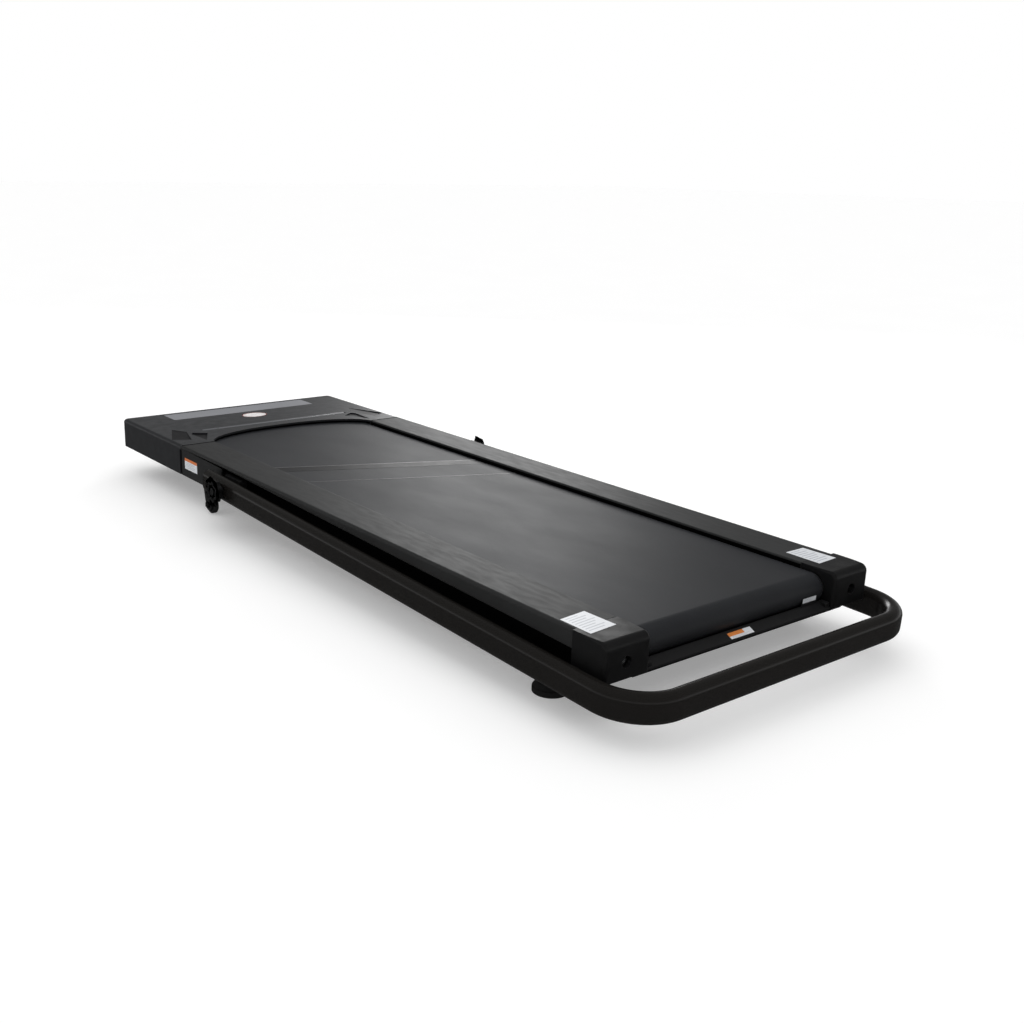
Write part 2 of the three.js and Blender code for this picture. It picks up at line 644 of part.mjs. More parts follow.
function buildPan() {
  const y = [BEAM_POSITIONS.front + 40, HOOD_FRONT - 8];
  const z = [UNDER_MEMBER - PAN_THICKNESS, UNDER_MEMBER];
  add('motor_pan', box([-(HALF - 2 * SKIN), HALF - 2 * SKIN], y, z), FINISH.shell);
}

function buildDeck() {
  const drive = ROLLER_PULLEY_RADIUS + GAP + DRIVE_BELT_THICKNESS;
  const y = [REAR_ROLLER_Y + ROLLER_RADIUS + 6, FRONT_ROLLER_Y - Math.max(ROLLER_RADIUS, drive) - 6];
  const reach = MEMBER_IN - 3;
  add('deck_board', box([-reach, reach], y, [DECK_BOTTOM, DECK_TOP]), FINISH.board);
}

// ---------------------------------------------------------------- belt, rollers and drive

// Outline of a belt round two wheels on the Y axis; wheel a is behind wheel b.
function loopOutline(a, b, steps) {
  const distance = Math.hypot(b.y - a.y, b.z - a.z);
  const heading = Math.atan2(b.z - a.z, b.y - a.y) * THREE.MathUtils.RAD2DEG;
  const spread = Math.acos((a.r - b.r) / distance) * THREE.MathUtils.RAD2DEG;
  return [
    ...arc(b.y, b.z, b.r, heading - spread, heading + spread, steps),
    ...arc(a.y, a.z, a.r, heading + spread, heading - spread + 360, steps),
  ];
}

function loopBelt(a, b, thickness, x, steps) {
  const outer = loopOutline({ ...a, r: a.r + thickness }, { ...b, r: b.r + thickness }, steps);
  return prismX(outer, ...x, [loopOutline(a, b, steps)]);
}

function buildBelt() {
  const r = ROLLER_RADIUS + GAP;
  const rear = { y: REAR_ROLLER_Y, z: ROLLER_HEIGHT, r };
  const front = { y: FRONT_ROLLER_Y, z: ROLLER_HEIGHT, r };
  add('running_belt', loopBelt(rear, front, BELT_THICKNESS, [-BELT_WIDTH / 2, BELT_WIDTH / 2], 16),
    FINISH.belt);
}

function rollerProfile() {
  const end = ROLLER_END;
  const seat = end - BEARING_WIDTH - 1;
  const wallIn = seat - 8;
  const core = ROLLER_RADIUS - ROLLER_WALL;
  const bore = AXLE_RADIUS + 1;
  return [
    [-end, ROLLER_RADIUS], [end, ROLLER_RADIUS], [end, BEARING_RADIUS], [seat, BEARING_RADIUS],
    [seat, bore], [wallIn, bore], [wallIn, core], [-wallIn, core], [-wallIn, bore],
    [-seat, bore], [-seat, BEARING_RADIUS], [-end, BEARING_RADIUS],
  ];
}

function buildRoller(name, y) {
  add(`${name}_roller`, turnedX(rollerProfile(), y, ROLLER_HEIGHT), FINISH.steel);
  add(`${name}_axle`, cylinderX(y, ROLLER_HEIGHT, AXLE_RADIUS, -AXLE_REACH, AXLE_REACH, 20), FINISH.zinc);
  for (const [sideName, side] of SIDES) {
    const a = side * (ROLLER_END - BEARING_WIDTH);
    const b = side * (ROLLER_END - 0.5);
    const inner = AXLE_RADIUS + RUNNING;
    const outer = BEARING_RADIUS - GAP;
    const ring = turnedX([[Math.min(a, b), outer], [Math.max(a, b), outer],
      [Math.max(a, b), inner], [Math.min(a, b), inner]], y, ROLLER_HEIGHT, 16);
    add(`${name}_bearing_${sideName}`, ring, FINISH.zinc);
  }
}

// A ribbed pulley: grooves run round its rim.
function pulleyProfile(radius, bore) {
  const grooves = 3;
  const pitch = (PULLEY_WIDTH - 4) / grooves;
  const depth = 1.2;
  const rim = [];
  for (let i = 0; i < grooves; i += 1) {
    const x = PULLEY_IN + 2 + i * pitch;
    rim.push([x, radius], [x + pitch / 2, radius - depth]);
  }
  return [
    [PULLEY_IN, bore], [PULLEY_IN, radius], ...rim, [PULLEY_OUT - 2, radius],
    [PULLEY_OUT, radius], [PULLEY_OUT, bore],
  ];
}

function buildDrive() {
  const roller = { y: FRONT_ROLLER_Y, z: ROLLER_HEIGHT, r: ROLLER_PULLEY_RADIUS + GAP };
  const motor = { y: MOTOR_Y, z: MOTOR_HEIGHT, r: MOTOR_PULLEY_RADIUS + GAP };
  const belt = loopBelt(roller, motor, DRIVE_BELT_THICKNESS, [PULLEY_IN + 1, PULLEY_OUT - 1], 14);
  add('drive_belt', belt, FINISH.rubber);
  add('roller_pulley', turnedX(pulleyProfile(ROLLER_PULLEY_RADIUS, AXLE_RADIUS + 1),
    FRONT_ROLLER_Y, ROLLER_HEIGHT), FINISH.zinc);
  add('motor_pulley', turnedX(pulleyProfile(MOTOR_PULLEY_RADIUS, SHAFT_RADIUS + GAP),
    MOTOR_Y, MOTOR_HEIGHT, 16), FINISH.zinc);
}

function buildMotor() {
  const end = MOTOR_LENGTH / 2;
  const inner = end - 6;
  const bore = SHAFT_RADIUS + RUNNING;
  const cavity = MOTOR_RADIUS - MOTOR_WALL;
  const can = [
    [-end, MOTOR_RADIUS], [end, MOTOR_RADIUS], [end, bore], [inner, bore], [inner, cavity],
    [-inner, cavity], [-inner, bore], [-end, bore],
  ];
  add('motor_can', turnedX(can, MOTOR_Y, MOTOR_HEIGHT), FINISH.motor);
  const core = inner - 4;
  const left = -(end + 34);
  const right = PULLEY_OUT + 2;
  const rotor = cavity - 2;
  const armature = join(
    cylinderX(MOTOR_Y, MOTOR_HEIGHT, SHAFT_RADIUS, left, right, 20),
    cylinderX(MOTOR_Y, MOTOR_HEIGHT, rotor, -core, core));
  add('motor_rotor', armature, FINISH.steel);
  const flywheel = [
    [-(end + 24), bore], [-(end + 24), MOTOR_RADIUS - 1],
    [-(end + 6), MOTOR_RADIUS - 1], [-(end + 6), bore],
  ];
  add('motor_flywheel', turnedX(flywheel, MOTOR_Y, MOTOR_HEIGHT), FINISH.steel);
  const seatTop = MOTOR_HEIGHT - 10;
  const block = box([-end + 12, end - 12], [MOTOR_Y - 34, MOTOR_Y + 34], [UNDER_MEMBER + GAP, seatTop]);
  const saddle = cylinderX(MOTOR_Y, MOTOR_HEIGHT, MOTOR_RADIUS + GAP, -end, end);
  const relief = box([-end, end], [MOTOR_Y - 12, MOTOR_Y + 12], [UNDER_MEMBER, seatTop]);
  const halves = cut(block, saddle, relief);
  const foot = box([-end + 12, end - 12], [MOTOR_Y - 34, MOTOR_Y + 34],
    [UNDER_MEMBER + GAP, UNDER_MEMBER + 2]);
  add('motor_bracket', join(halves, foot), FINISH.frame);
}

// ---------------------------------------------------------------- tension bolts, wheels and feet

function buildTensionBolt(name, side) {
  const x = side * MEMBER_MIDDLE;
  const headEnd = MEMBER_START - GAP;
  const head = cylinderY(x, ROLLER_HEIGHT, BOLT_HEAD_RADIUS, headEnd - 5, headEnd, 6);
  const stem = cylinderY(x, ROLLER_HEIGHT, BOLT_RADIUS, headEnd - 1, REAR_ROLLER_Y - AXLE_RADIUS - GAP, 16);
  add(`tension_bolt_${name}`, join(head, stem), FINISH.zinc);
}

function buildWheel(name, side) {
  const plateOut = HALF - 2 * SKIN;
  const plateIn = plateOut - WHEEL_PLATE;
  const wheelOut = plateIn - 1;
  const wheelIn = wheelOut - WHEEL_WIDTH;
  const end = 12;
  const profile = [
    ...arc(WHEEL_Y, WHEEL_RADIUS, end, 180, 360, 8),
    [WHEEL_Y + 20, UNDER_MEMBER - WHEEL_PLATE], [WHEEL_Y + 20, UNDER_MEMBER],
    [WHEEL_Y - 20, UNDER_MEMBER], [WHEEL_Y - 20, UNDER_MEMBER - WHEEL_PLATE],
  ];
  const plate = prismX(profile, side * plateIn, side * plateOut);
  const flange = box([side * (MEMBER_IN + 4), side * plateOut], [WHEEL_Y - 20, WHEEL_Y + 20],
    [UNDER_MEMBER - WHEEL_PLATE, UNDER_MEMBER]);
  const hole = cylinderX(WHEEL_Y, WHEEL_RADIUS, 4 + GAP, side * (plateIn - 1), side * (plateOut + 1), 16);
  add(`wheel_bracket_${name}`, cut(join(plate, flange), hole), FINISH.frame);
  const bore = 4 + RUNNING;
  const xs = [side * wheelIn, side * wheelOut].sort((a, b) => a - b);
  const tyre = [
    [xs[0], bore], [xs[0], WHEEL_RADIUS - 2], [xs[0] + 2, WHEEL_RADIUS],
    [xs[1] - 2, WHEEL_RADIUS], [xs[1], WHEEL_RADIUS - 2], [xs[1], bore],
  ];
  add(`transport_wheel_${name}`, turnedX(tyre, WHEEL_Y, WHEEL_RADIUS), FINISH.rubber);
  const pin = cylinderX(WHEEL_Y, WHEEL_RADIUS, 4, side * (wheelIn - 4), side * (plateOut + GAP), 16);
  const head = cylinderX(WHEEL_Y, WHEEL_RADIUS, 7, side * (plateOut + GAP), side * (plateOut + 4), 6);
  add(`wheel_axle_${name}`, join(pin, head), FINISH.zinc);
}

function buildFoot(name, side) {
  const top = MEMBER_BOTTOM - FOOT_PLATE - GAP;
  const profile = [
    [0, 0], [FOOT_RADIUS - 1.5, 0], [FOOT_RADIUS, 1.5], [FOOT_RADIUS, 8], [FOOT_RADIUS - 5, 16],
    [FOOT_RADIUS - 8, top], [0, top],
  ];
  const lathe = new THREE.LatheGeometry(profile.map(([r, z]) => new THREE.Vector2(r, z)), 24);
  const foot = toGeometry(toSolid(lathe.rotateX(Math.PI / 2))).translate(side * FOOT_X, FOOT_Y, 0);
  add(`rear_foot_${name}`, foot, FINISH.rubber);
}

// ---------------------------------------------------------------- handrail

// A path through given points, one extrusion step to each, with its own tangents.
class SteppedPath extends THREE.Curve {
  constructor(stations) {
    super();
    this.stations = stations;
  }

  at(u) {
    return this.stations[Math.round(u * (this.stations.length - 1))];
  }

  getPoint(t) {
    return this.at(t).point.clone();
  }

  getPointAt(u) {
    return this.at(u).point.clone();
  }

  getTangentAt(u) {
    return this.at(u).tangent.clone();
  }
}

// Stations along the U: up the left leg, round the bar and down the right leg.
// The handrail's own frame has its origin on the pivot axis and -Y towards the bar.
function handrailStations() {
  const legEnd = PIVOT_TO_LEG_END;
  const barY = BAR_Y - PIVOT_Y;
  const steps = 7;
  const stations = [];
  const put = (x, y, tx, ty) => stations.push({
    point: new THREE.Vector3(x, y, 0),
    tangent: new THREE.Vector3(tx, ty, 0),
  });
  put(-LEG_X, legEnd, 0, -1);
  for (const [cx, start] of [[-LEG_X + TUBE_CORNER, 180], [LEG_X - TUBE_CORNER, 270]]) {
    for (let i = 0; i <= steps; i += 1) {
      const angle = THREE.MathUtils.degToRad(start + (90 * i) / steps);
      const [c, s] = [Math.cos(angle), Math.sin(angle)];
      put(cx + TUBE_CORNER * c, barY + TUBE_CORNER + TUBE_CORNER * s, -s, c);
    }
  }
  put(LEG_X, legEnd, 0, 1);
  return stations;
}

function ovalSection(shrink, steps = 6) {
  const r = TUBE_WIDTH / 2 - shrink;
  const straight = (TUBE_HEIGHT - TUBE_WIDTH) / 2;
  return [...arc(straight, 0, r, -90, 90, steps), ...arc(-straight, 0, r, 90, 270, steps)];
}

function buildHandrail() {
  const stations = handrailStations();
  const tube = new THREE.ExtrudeGeometry(outline(ovalSection(0), [ovalSection(TUBE_WALL)]), {
    steps: stations.length - 1,
    extrudePath: new SteppedPath(stations),
    bevelEnabled: false,
  });
  const bores = SIDES.map(([, side]) => cylinderX(
    0, 0, STUD_RADIUS + RUNNING + BUSH_WALL + GAP, side * (LEG_IN - 2), side * (LEG_OUT + 2)));
  add('handrail_tube', cut(tube, ...bores), FINISH.tube, handrail);
  for (const [name, side] of SIDES) {
    const inner = STUD_RADIUS + RUNNING;
    const xs = [side * (LEG_IN + 0.2), side * (LEG_OUT - 0.2)].sort((a, b) => a - b);
    const ring = [[xs[0], inner], [xs[0], inner + BUSH_WALL], [xs[1], inner + BUSH_WALL], [xs[1], inner]];
    add(`pivot_bush_${name}`, turnedX(ring, 0, 0, 16), FINISH.zinc, handrail);
    add(`leg_end_plug_${name}`, legPlug(side), FINISH.shell, handrail);
  }
}

function legPlug(side) {
  const section = (shrink) => ovalSection(shrink).map(([a, b]) => [side * LEG_X + b, a]);
  const rim = prismY(section(0), PIVOT_TO_LEG_END + GAP, PIVOT_TO_LEG_END + GAP + SKIN);
  const tongue = prismY(section(TUBE_WALL + GAP), PIVOT_TO_LEG_END - 16, PIVOT_TO_LEG_END + GAP + 1);
  return join(rim, tongue);
}

function buildPivot(name, side) {
  const half = PIVOT_PLATE / 2;
  const block = box(
    [side * (MEMBER_OUT + GAP), side * (LEG_IN - GAP)],
    [PIVOT_Y - half, PIVOT_Y + half],
    [PIVOT_HEIGHT - TUBE_HEIGHT / 2 + 1, PIVOT_HEIGHT + TUBE_HEIGHT / 2 - 1]);
  const bore = cylinderX(PIVOT_Y, PIVOT_HEIGHT, STUD_RADIUS + RUNNING,
    side * (MEMBER_OUT + 4), side * (LEG_IN + 1));
  add(`pivot_bracket_${name}`, cut(block, bore), FINISH.frame);
}

// A lobed clamping knob with its stud, turned about the pivot axis.
function buildKnob(name, side) {
  const rim = [];
  const steps = KNOB_LOBES * 6;
  for (let i = 0; i < steps; i += 1) {
    const angle = (2 * Math.PI * i) / steps;
    const r = KNOB_RADIUS - 2.6 + 2.6 * Math.cos(KNOB_LOBES * angle);
    rim.push([PIVOT_Y + r * Math.cos(angle), PIVOT_HEIGHT + r * Math.sin(angle)]);
  }
  const face = LEG_OUT + 3;
  const disc = prismX(rim, side * face, side * (face + KNOB_THICKNESS));
  const collar = cylinderX(PIVOT_Y, PIVOT_HEIGHT, 10, side * (LEG_OUT + GAP), side * (face + 1), 20);
  const stud = cylinderX(PIVOT_Y, PIVOT_HEIGHT, STUD_RADIUS, side * (MEMBER_OUT + 6), side * (face + 2), 20);
  add(`clamp_knob_${name}`, join(disc, collar, stud), FINISH.knob);
}

// ---------------------------------------------------------------- assembly

buildHood();
buildElectronics();
for (const [name, side] of SIDES) {
  buildRail(name, side);
  buildEndCap(name, side);
  buildSideMember(name, side);
  buildTensionBolt(name, side);
  buildWheel(name, side);
  buildFoot(name, side);
  buildPivot(name, side);
  buildKnob(name, side);
}
buildBeams();
buildRearCrossMember();
buildPan();
buildDeck();
buildBelt();
buildRoller('rear', REAR_ROLLER_Y);
buildRoller('front', FRONT_ROLLER_Y);
buildDrive();
buildMotor();
buildHandrail();

export default treadmill;
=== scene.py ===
"""Looks of a flat walking treadmill with its handrail folded down round the deck.

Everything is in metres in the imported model's own frame: +X to the walker's right,
+Y towards the motor hood, +Z up, floor at Z = 0.
"""

import json
import logging
import math
from dataclasses import dataclass, field
from enum import Enum
from typing import Callable, Iterable, Sequence

import bmesh
import bpy
from mathutils import Matrix, Vector


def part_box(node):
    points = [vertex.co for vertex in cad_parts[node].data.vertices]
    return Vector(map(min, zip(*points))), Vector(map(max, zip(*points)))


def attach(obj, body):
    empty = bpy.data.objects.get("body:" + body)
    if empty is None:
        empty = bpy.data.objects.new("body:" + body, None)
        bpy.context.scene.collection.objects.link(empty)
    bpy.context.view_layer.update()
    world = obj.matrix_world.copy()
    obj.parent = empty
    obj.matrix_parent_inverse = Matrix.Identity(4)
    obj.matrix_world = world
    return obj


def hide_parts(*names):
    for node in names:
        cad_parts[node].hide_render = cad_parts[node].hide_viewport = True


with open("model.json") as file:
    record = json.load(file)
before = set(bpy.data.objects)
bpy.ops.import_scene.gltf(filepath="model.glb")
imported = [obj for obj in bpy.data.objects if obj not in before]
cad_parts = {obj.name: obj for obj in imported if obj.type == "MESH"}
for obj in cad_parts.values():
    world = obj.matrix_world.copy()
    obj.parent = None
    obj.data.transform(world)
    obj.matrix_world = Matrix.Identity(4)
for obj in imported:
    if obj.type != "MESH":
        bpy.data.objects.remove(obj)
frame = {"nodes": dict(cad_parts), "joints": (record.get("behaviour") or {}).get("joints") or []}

log = logging.getLogger("treadmill")

MM = 0.001
RIGHT_ANGLE = math.pi / 2
NEARLY = 0.9  # share of a direction that counts as lying along it
MOTTLE_SCALE = 9.0  # soft clouds of colour per metre
MARK_SCALE = 45.0  # handling marks per metre


class Part(Enum):
    """What a selection is made of."""

    POINTS = "VERT"
    EDGES = "EDGE"
    FACES = "FACE"


class Axis(Enum):
    """A direction that an outline is drawn across and extruded along."""

    X = 0
    Y = 1
    Z = 2

    def point(self, a: float, b: float, along: float) -> Vector:
        """Puts a point of an outline into space.

        Args:
            a: The outline's first coordinate (Y on X, X on Y and Z).
            b: The outline's second coordinate (Z on X and Y, Y on Z).
            along: The coordinate along the axis.

        Returns:
            The point.
        """
        if self is Axis.X:
            return Vector((along, a, b))
        if self is Axis.Y:
            return Vector((a, along, b))
        return Vector((a, b, along))

    @property
    def unit(self) -> Vector:
        """The axis as a unit vector."""
        return Vector([1.0 if index == self.value else 0.0 for index in range(3)])

    @property
    def turn(self) -> tuple[float, float, float]:
        """The rotation that stands a primitive's own Z along the axis."""
        return {
            Axis.X: (0.0, RIGHT_ANGLE, 0.0),
            Axis.Y: (RIGHT_ANGLE, 0.0, 0.0),
            Axis.Z: (0.0, 0.0, 0.0),
        }[self]


class Side(Enum):
    """The walker's left or right."""

    LEFT = -1
    RIGHT = 1

    @property
    def word(self) -> str:
        """The side's name, as the pieces carry it."""
        return self.name.lower()


# ------------------------------------------------------------------ bench work


def put_down() -> None:
    """Leaves edit mode and deselects everything."""
    if bpy.context.object is not None and bpy.context.object.mode != "OBJECT":
        bpy.ops.object.mode_set(mode="OBJECT")
    bpy.ops.object.select_all(action="DESELECT")


def take(piece: bpy.types.Object) -> None:
    """Makes a piece the only one selected and active.

    Args:
        piece: The piece to work on.
    """
    put_down()
    piece.hide_set(False)
    piece.select_set(True)
    bpy.context.view_layer.objects.active = piece


def settle(name: str) -> bpy.types.Object:
    """Names the primitive just added and moves its place into its mesh.

    Args:
        name: The piece's name.

    Returns:
        The piece.
    """
    piece = bpy.context.object
    piece.name = name
    piece.data.name = name
    bpy.ops.object.transform_apply(location=True, rotation=True, scale=True)
    return piece


def block(name: str, low: Sequence[float], high: Sequence[float]) -> bpy.types.Object:
    """Adds a block between two corners.

    Args:
        name: The piece's name.
        low: Lowest corner.
        high: Highest corner.

    Returns:
        The block.
    """
    put_down()
    first, last = Vector(low), Vector(high)
    bpy.ops.mesh.primitive_cube_add(size=1, location=(first + last) / 2)
    bpy.context.object.scale = last - first
    return settle(name)


def rod(
    name: str,
    centre: Sequence[float],
    radius: float,
    length: float,
    axis: Axis,
    sides: int = 48,
) -> bpy.types.Object:
    """Adds a round bar.

    Args:
        name: The piece's name.
        centre: Its middle.
        radius: Its radius.
        length: Its length.
        axis: The axis that it lies along.
        sides: Faces round it.

    Returns:
        The bar.
    """
    put_down()
    bpy.ops.mesh.primitive_cylinder_add(
        vertices=sides, radius=radius, depth=length, location=centre, rotation=axis.turn
    )
    return settle(name)


def choose(
    piece: bpy.types.Object, part: Part, test: Callable[[Vector, Vector], bool]
) -> int:
    """Enters edit mode with the parts selected that pass a test.

    Args:
        piece: The piece to work on.
        part: Whether points, edges or faces are tested.
        test: Called with a part's middle and its direction: a face's or point's
            normal, or the way an edge runs.

    Returns:
        How many were selected.
    """
    take(piece)
    bpy.ops.object.mode_set(mode="EDIT")
    bpy.ops.mesh.select_mode(type=part.value)
    bpy.ops.mesh.select_all(action="DESELECT")
    mesh = bmesh.from_edit_mesh(piece.data)
    found = 0
    if part is Part.FACES:
        for face in mesh.faces:
            if test(face.calc_center_median(), face.normal):
                face.select_set(True)
                found += 1
    elif part is Part.EDGES:
        for edge in mesh.edges:
            a, b = (vertex.co for vertex in edge.verts)
            if test((a + b) / 2, (b - a).normalized()):
                edge.select_set(True)
                found += 1
    else:
        for vertex in mesh.verts:
            if test(vertex.co, vertex.normal):
                vertex.select_set(True)
                found += 1
    mesh.select_flush_mode()
    bmesh.update_edit_mesh(piece.data)
    return found


def bevel_chosen(width: float, segments: int) -> None:
    """Rounds the chosen edges and leaves edit mode.

    Args:
        width: The rounding's width.
        segments: Faces across it.
    """
    bpy.ops.mesh.bevel(offset=width, segments=segments, affect="EDGES")
    put_down()


def prism(
    name: str,
    outline: Sequence[tuple[float, float]],
    axis: Axis,
    start: float,
    end: float,
) -> bpy.types.Object:
    """Lays a ring of points on an outline, fills it and extrudes it along an axis.

    Args:
        name: The piece's name.
        outline: The outline's points, in order round it.
        axis: The axis that the piece is extruded along.
        start: Where it starts on the axis.
        end: Where it ends on the axis.

    Returns:
        The piece.
    """
    put_down()
    bpy.ops.mesh.primitive_circle_add(vertices=len(outline), radius=1, fill_type="NGON")
    piece = settle(name)
    bpy.ops.object.mode_set(mode="EDIT")
    bpy.ops.mesh.select_mode(type="VERT")
    for index, (a, b) in enumerate(outline):
        bpy.ops.mesh.select_all(action="DESELECT")
        mesh = bmesh.from_edit_mesh(piece.data)
        mesh.verts.ensure_lookup_table()
        vertex = mesh.verts[index]
        vertex.select_set(True)
        move = axis.point(a, b, start) - vertex.co
        bpy.ops.transform.translate(value=move)
    bpy.ops.mesh.select_all(action="SELECT")
    bpy.ops.mesh.extrude_region_move(
        TRANSFORM_OT_translate={"value": axis.unit * (end - start)}
    )
    bpy.ops.mesh.select_all(action="SELECT")
    bpy.ops.mesh.normals_make_consistent(inside=False)
    put_down()
    return piece


def apply_modifier(piece: bpy.types.Object, modifier: bpy.types.Modifier) -> None:
    """Applies one modifier of a piece.

    Args:
        piece: The piece.
        modifier: Its modifier.
    """
    take(piece)
    bpy.ops.object.modifier_apply(modifier=modifier.name)


def combine(
    piece: bpy.types.Object, tools: Iterable[bpy.types.Object], how: str = "DIFFERENCE"
) -> bpy.types.Object:
    """Cuts other shapes out of a piece, or welds them to it.

    Args:
        piece: The piece that is kept.
        tools: The shapes, which are used up.
        how: The boolean's name: DIFFERENCE, UNION or INTERSECT.

    Returns:
        The piece.
    """
    for tool in tools:
        modifier = piece.modifiers.new("Shape", "BOOLEAN")
        modifier.operation = how
        modifier.solver = "EXACT"
        modifier.object = tool
        apply_modifier(piece, modifier)
        bpy.data.objects.remove(tool)
    return piece


def merge(piece: bpy.types.Object, distance: float = 2e-6) -> None:
    """Merges doubled points and takes out edges that lie in flat faces.

    Args:
        piece: The piece.
        distance: How near two points are that become one.
    """
    choose(piece, Part.POINTS, lambda centre, way: True)
    bpy.ops.mesh.remove_doubles(threshold=distance)
    bpy.ops.mesh.dissolve_limited(angle_limit=math.radians(0.5))
    put_down()


def soften(
    piece: bpy.types.Object, width: float, segments: int = 3, angle: float = 30.0
) -> bpy.types.Object:
    """Rounds every edge that is sharper than an angle and smooths the shading.

    Args:
        piece: The piece.
        width: The rounding's width.
        segments: Faces across each rounding.
        angle: The least turn between two faces that is rounded, in degrees.

    Returns:
        The piece.
    """
    modifier = piece.modifiers.new("Edge", "BEVEL")
    modifier.width = width
    modifier.segments = segments
    modifier.limit_method = "ANGLE"
    modifier.angle_limit = math.radians(angle)
    modifier.use_clamp_overlap = True
    apply_modifier(piece, modifier)
    return shade(piece)


def shade(piece: bpy.types.Object, angle: float = 40.0) -> bpy.types.Object:
    """Smooths the shading across edges flatter than an angle, with flat faces flat.

    Args:
        piece: The piece.
        angle: The angle, in degrees.

    Returns:
        The piece.
    """
    take(piece)
    bpy.ops.object.shade_smooth_by_angle(angle=math.radians(angle))
    modifier = piece.modifiers.new("Flats", "WEIGHTED_NORMAL")
    modifier.keep_sharp = True
    apply_modifier(piece, modifier)
    return piece


def copied(piece: bpy.types.Object, name: str, move: Vector) -> bpy.types.Object:
    """Copies a piece, with its own mesh, to another place.

    Args:
        piece: The piece to copy.
        name: The copy's name.
        move: How far it is moved.

    Returns:
        The copy.
    """
    twin = piece.copy()
    twin.data = piece.data.copy()
    twin.name = name
    twin.data.name = name
    bpy.context.scene.collection.objects.link(twin)
    twin.data.transform(Matrix.Translation(move))
    return twin


def joined(name: str, pieces: Sequence[bpy.types.Object]) -> bpy.types.Object:
    """Joins pieces of one finish into one object.

    Args:
        name: The new piece's name.
        pieces: The pieces.

    Returns:
        The joined piece.
    """
    put_down()
    for piece in pieces:
        piece.select_set(True)
    bpy.context.view_layer.objects.active = pieces[0]
    if len(pieces) > 1:
        bpy.ops.object.join()
    return settle(name)


def from_frame(node: str, name: str) -> bpy.types.Object:
    """Copies a frame node into a clean mesh that can be worked on.

    Args:
        node: The node's name.
        name: The copy's name.

    Returns:
        The copy.
    """
    twin = copied(frame["nodes"][node], name, Vector((0, 0, 0)))
    for key in list(twin.keys()):
        del twin[key]
    twin.parent = None
    twin.data.materials.clear()
    merge(twin, 1e-5)
    return twin


def rounded(
    centre: tuple[float, float], size: tuple[float, float], radius: float, steps: int = 4
) -> list[tuple[float, float]]:
    """Outlines a rectangle with round corners.

    Args:
        centre: Its middle.
        size: Its two lengths.
        radius: The corners' radius.
        steps: Edges round each corner.

    Returns:
        The outline.
    """
    points = []
    for turn, (u, v) in enumerate(((1, 1), (-1, 1), (-1, -1), (1, -1))):
        for step in range(steps + 1):
            angle = RIGHT_ANGLE * (turn + step / steps)
            points.append((
                centre[0] + u * (size[0] / 2 - radius) + radius * math.cos(angle),
                centre[1] + v * (size[1] / 2 - radius) + radius * math.sin(angle),
            ))
    return points


def oval(
    centre: tuple[float, float], size: tuple[float, float], steps: int = 48
) -> list[tuple[float, float]]:
    """Outlines an ellipse.

    Args:
        centre: Its middle.
        size: Its two lengths.
        steps: Edges round it.

    Returns:
        The outline.
    """
    turns = [math.tau * step / steps for step in range(steps)]
    return [
        (centre[0] + size[0] / 2 * math.cos(t), centre[1] + size[1] / 2 * math.sin(t))
        for t in turns
    ]


# ------------------------------------------------------------------ finishes


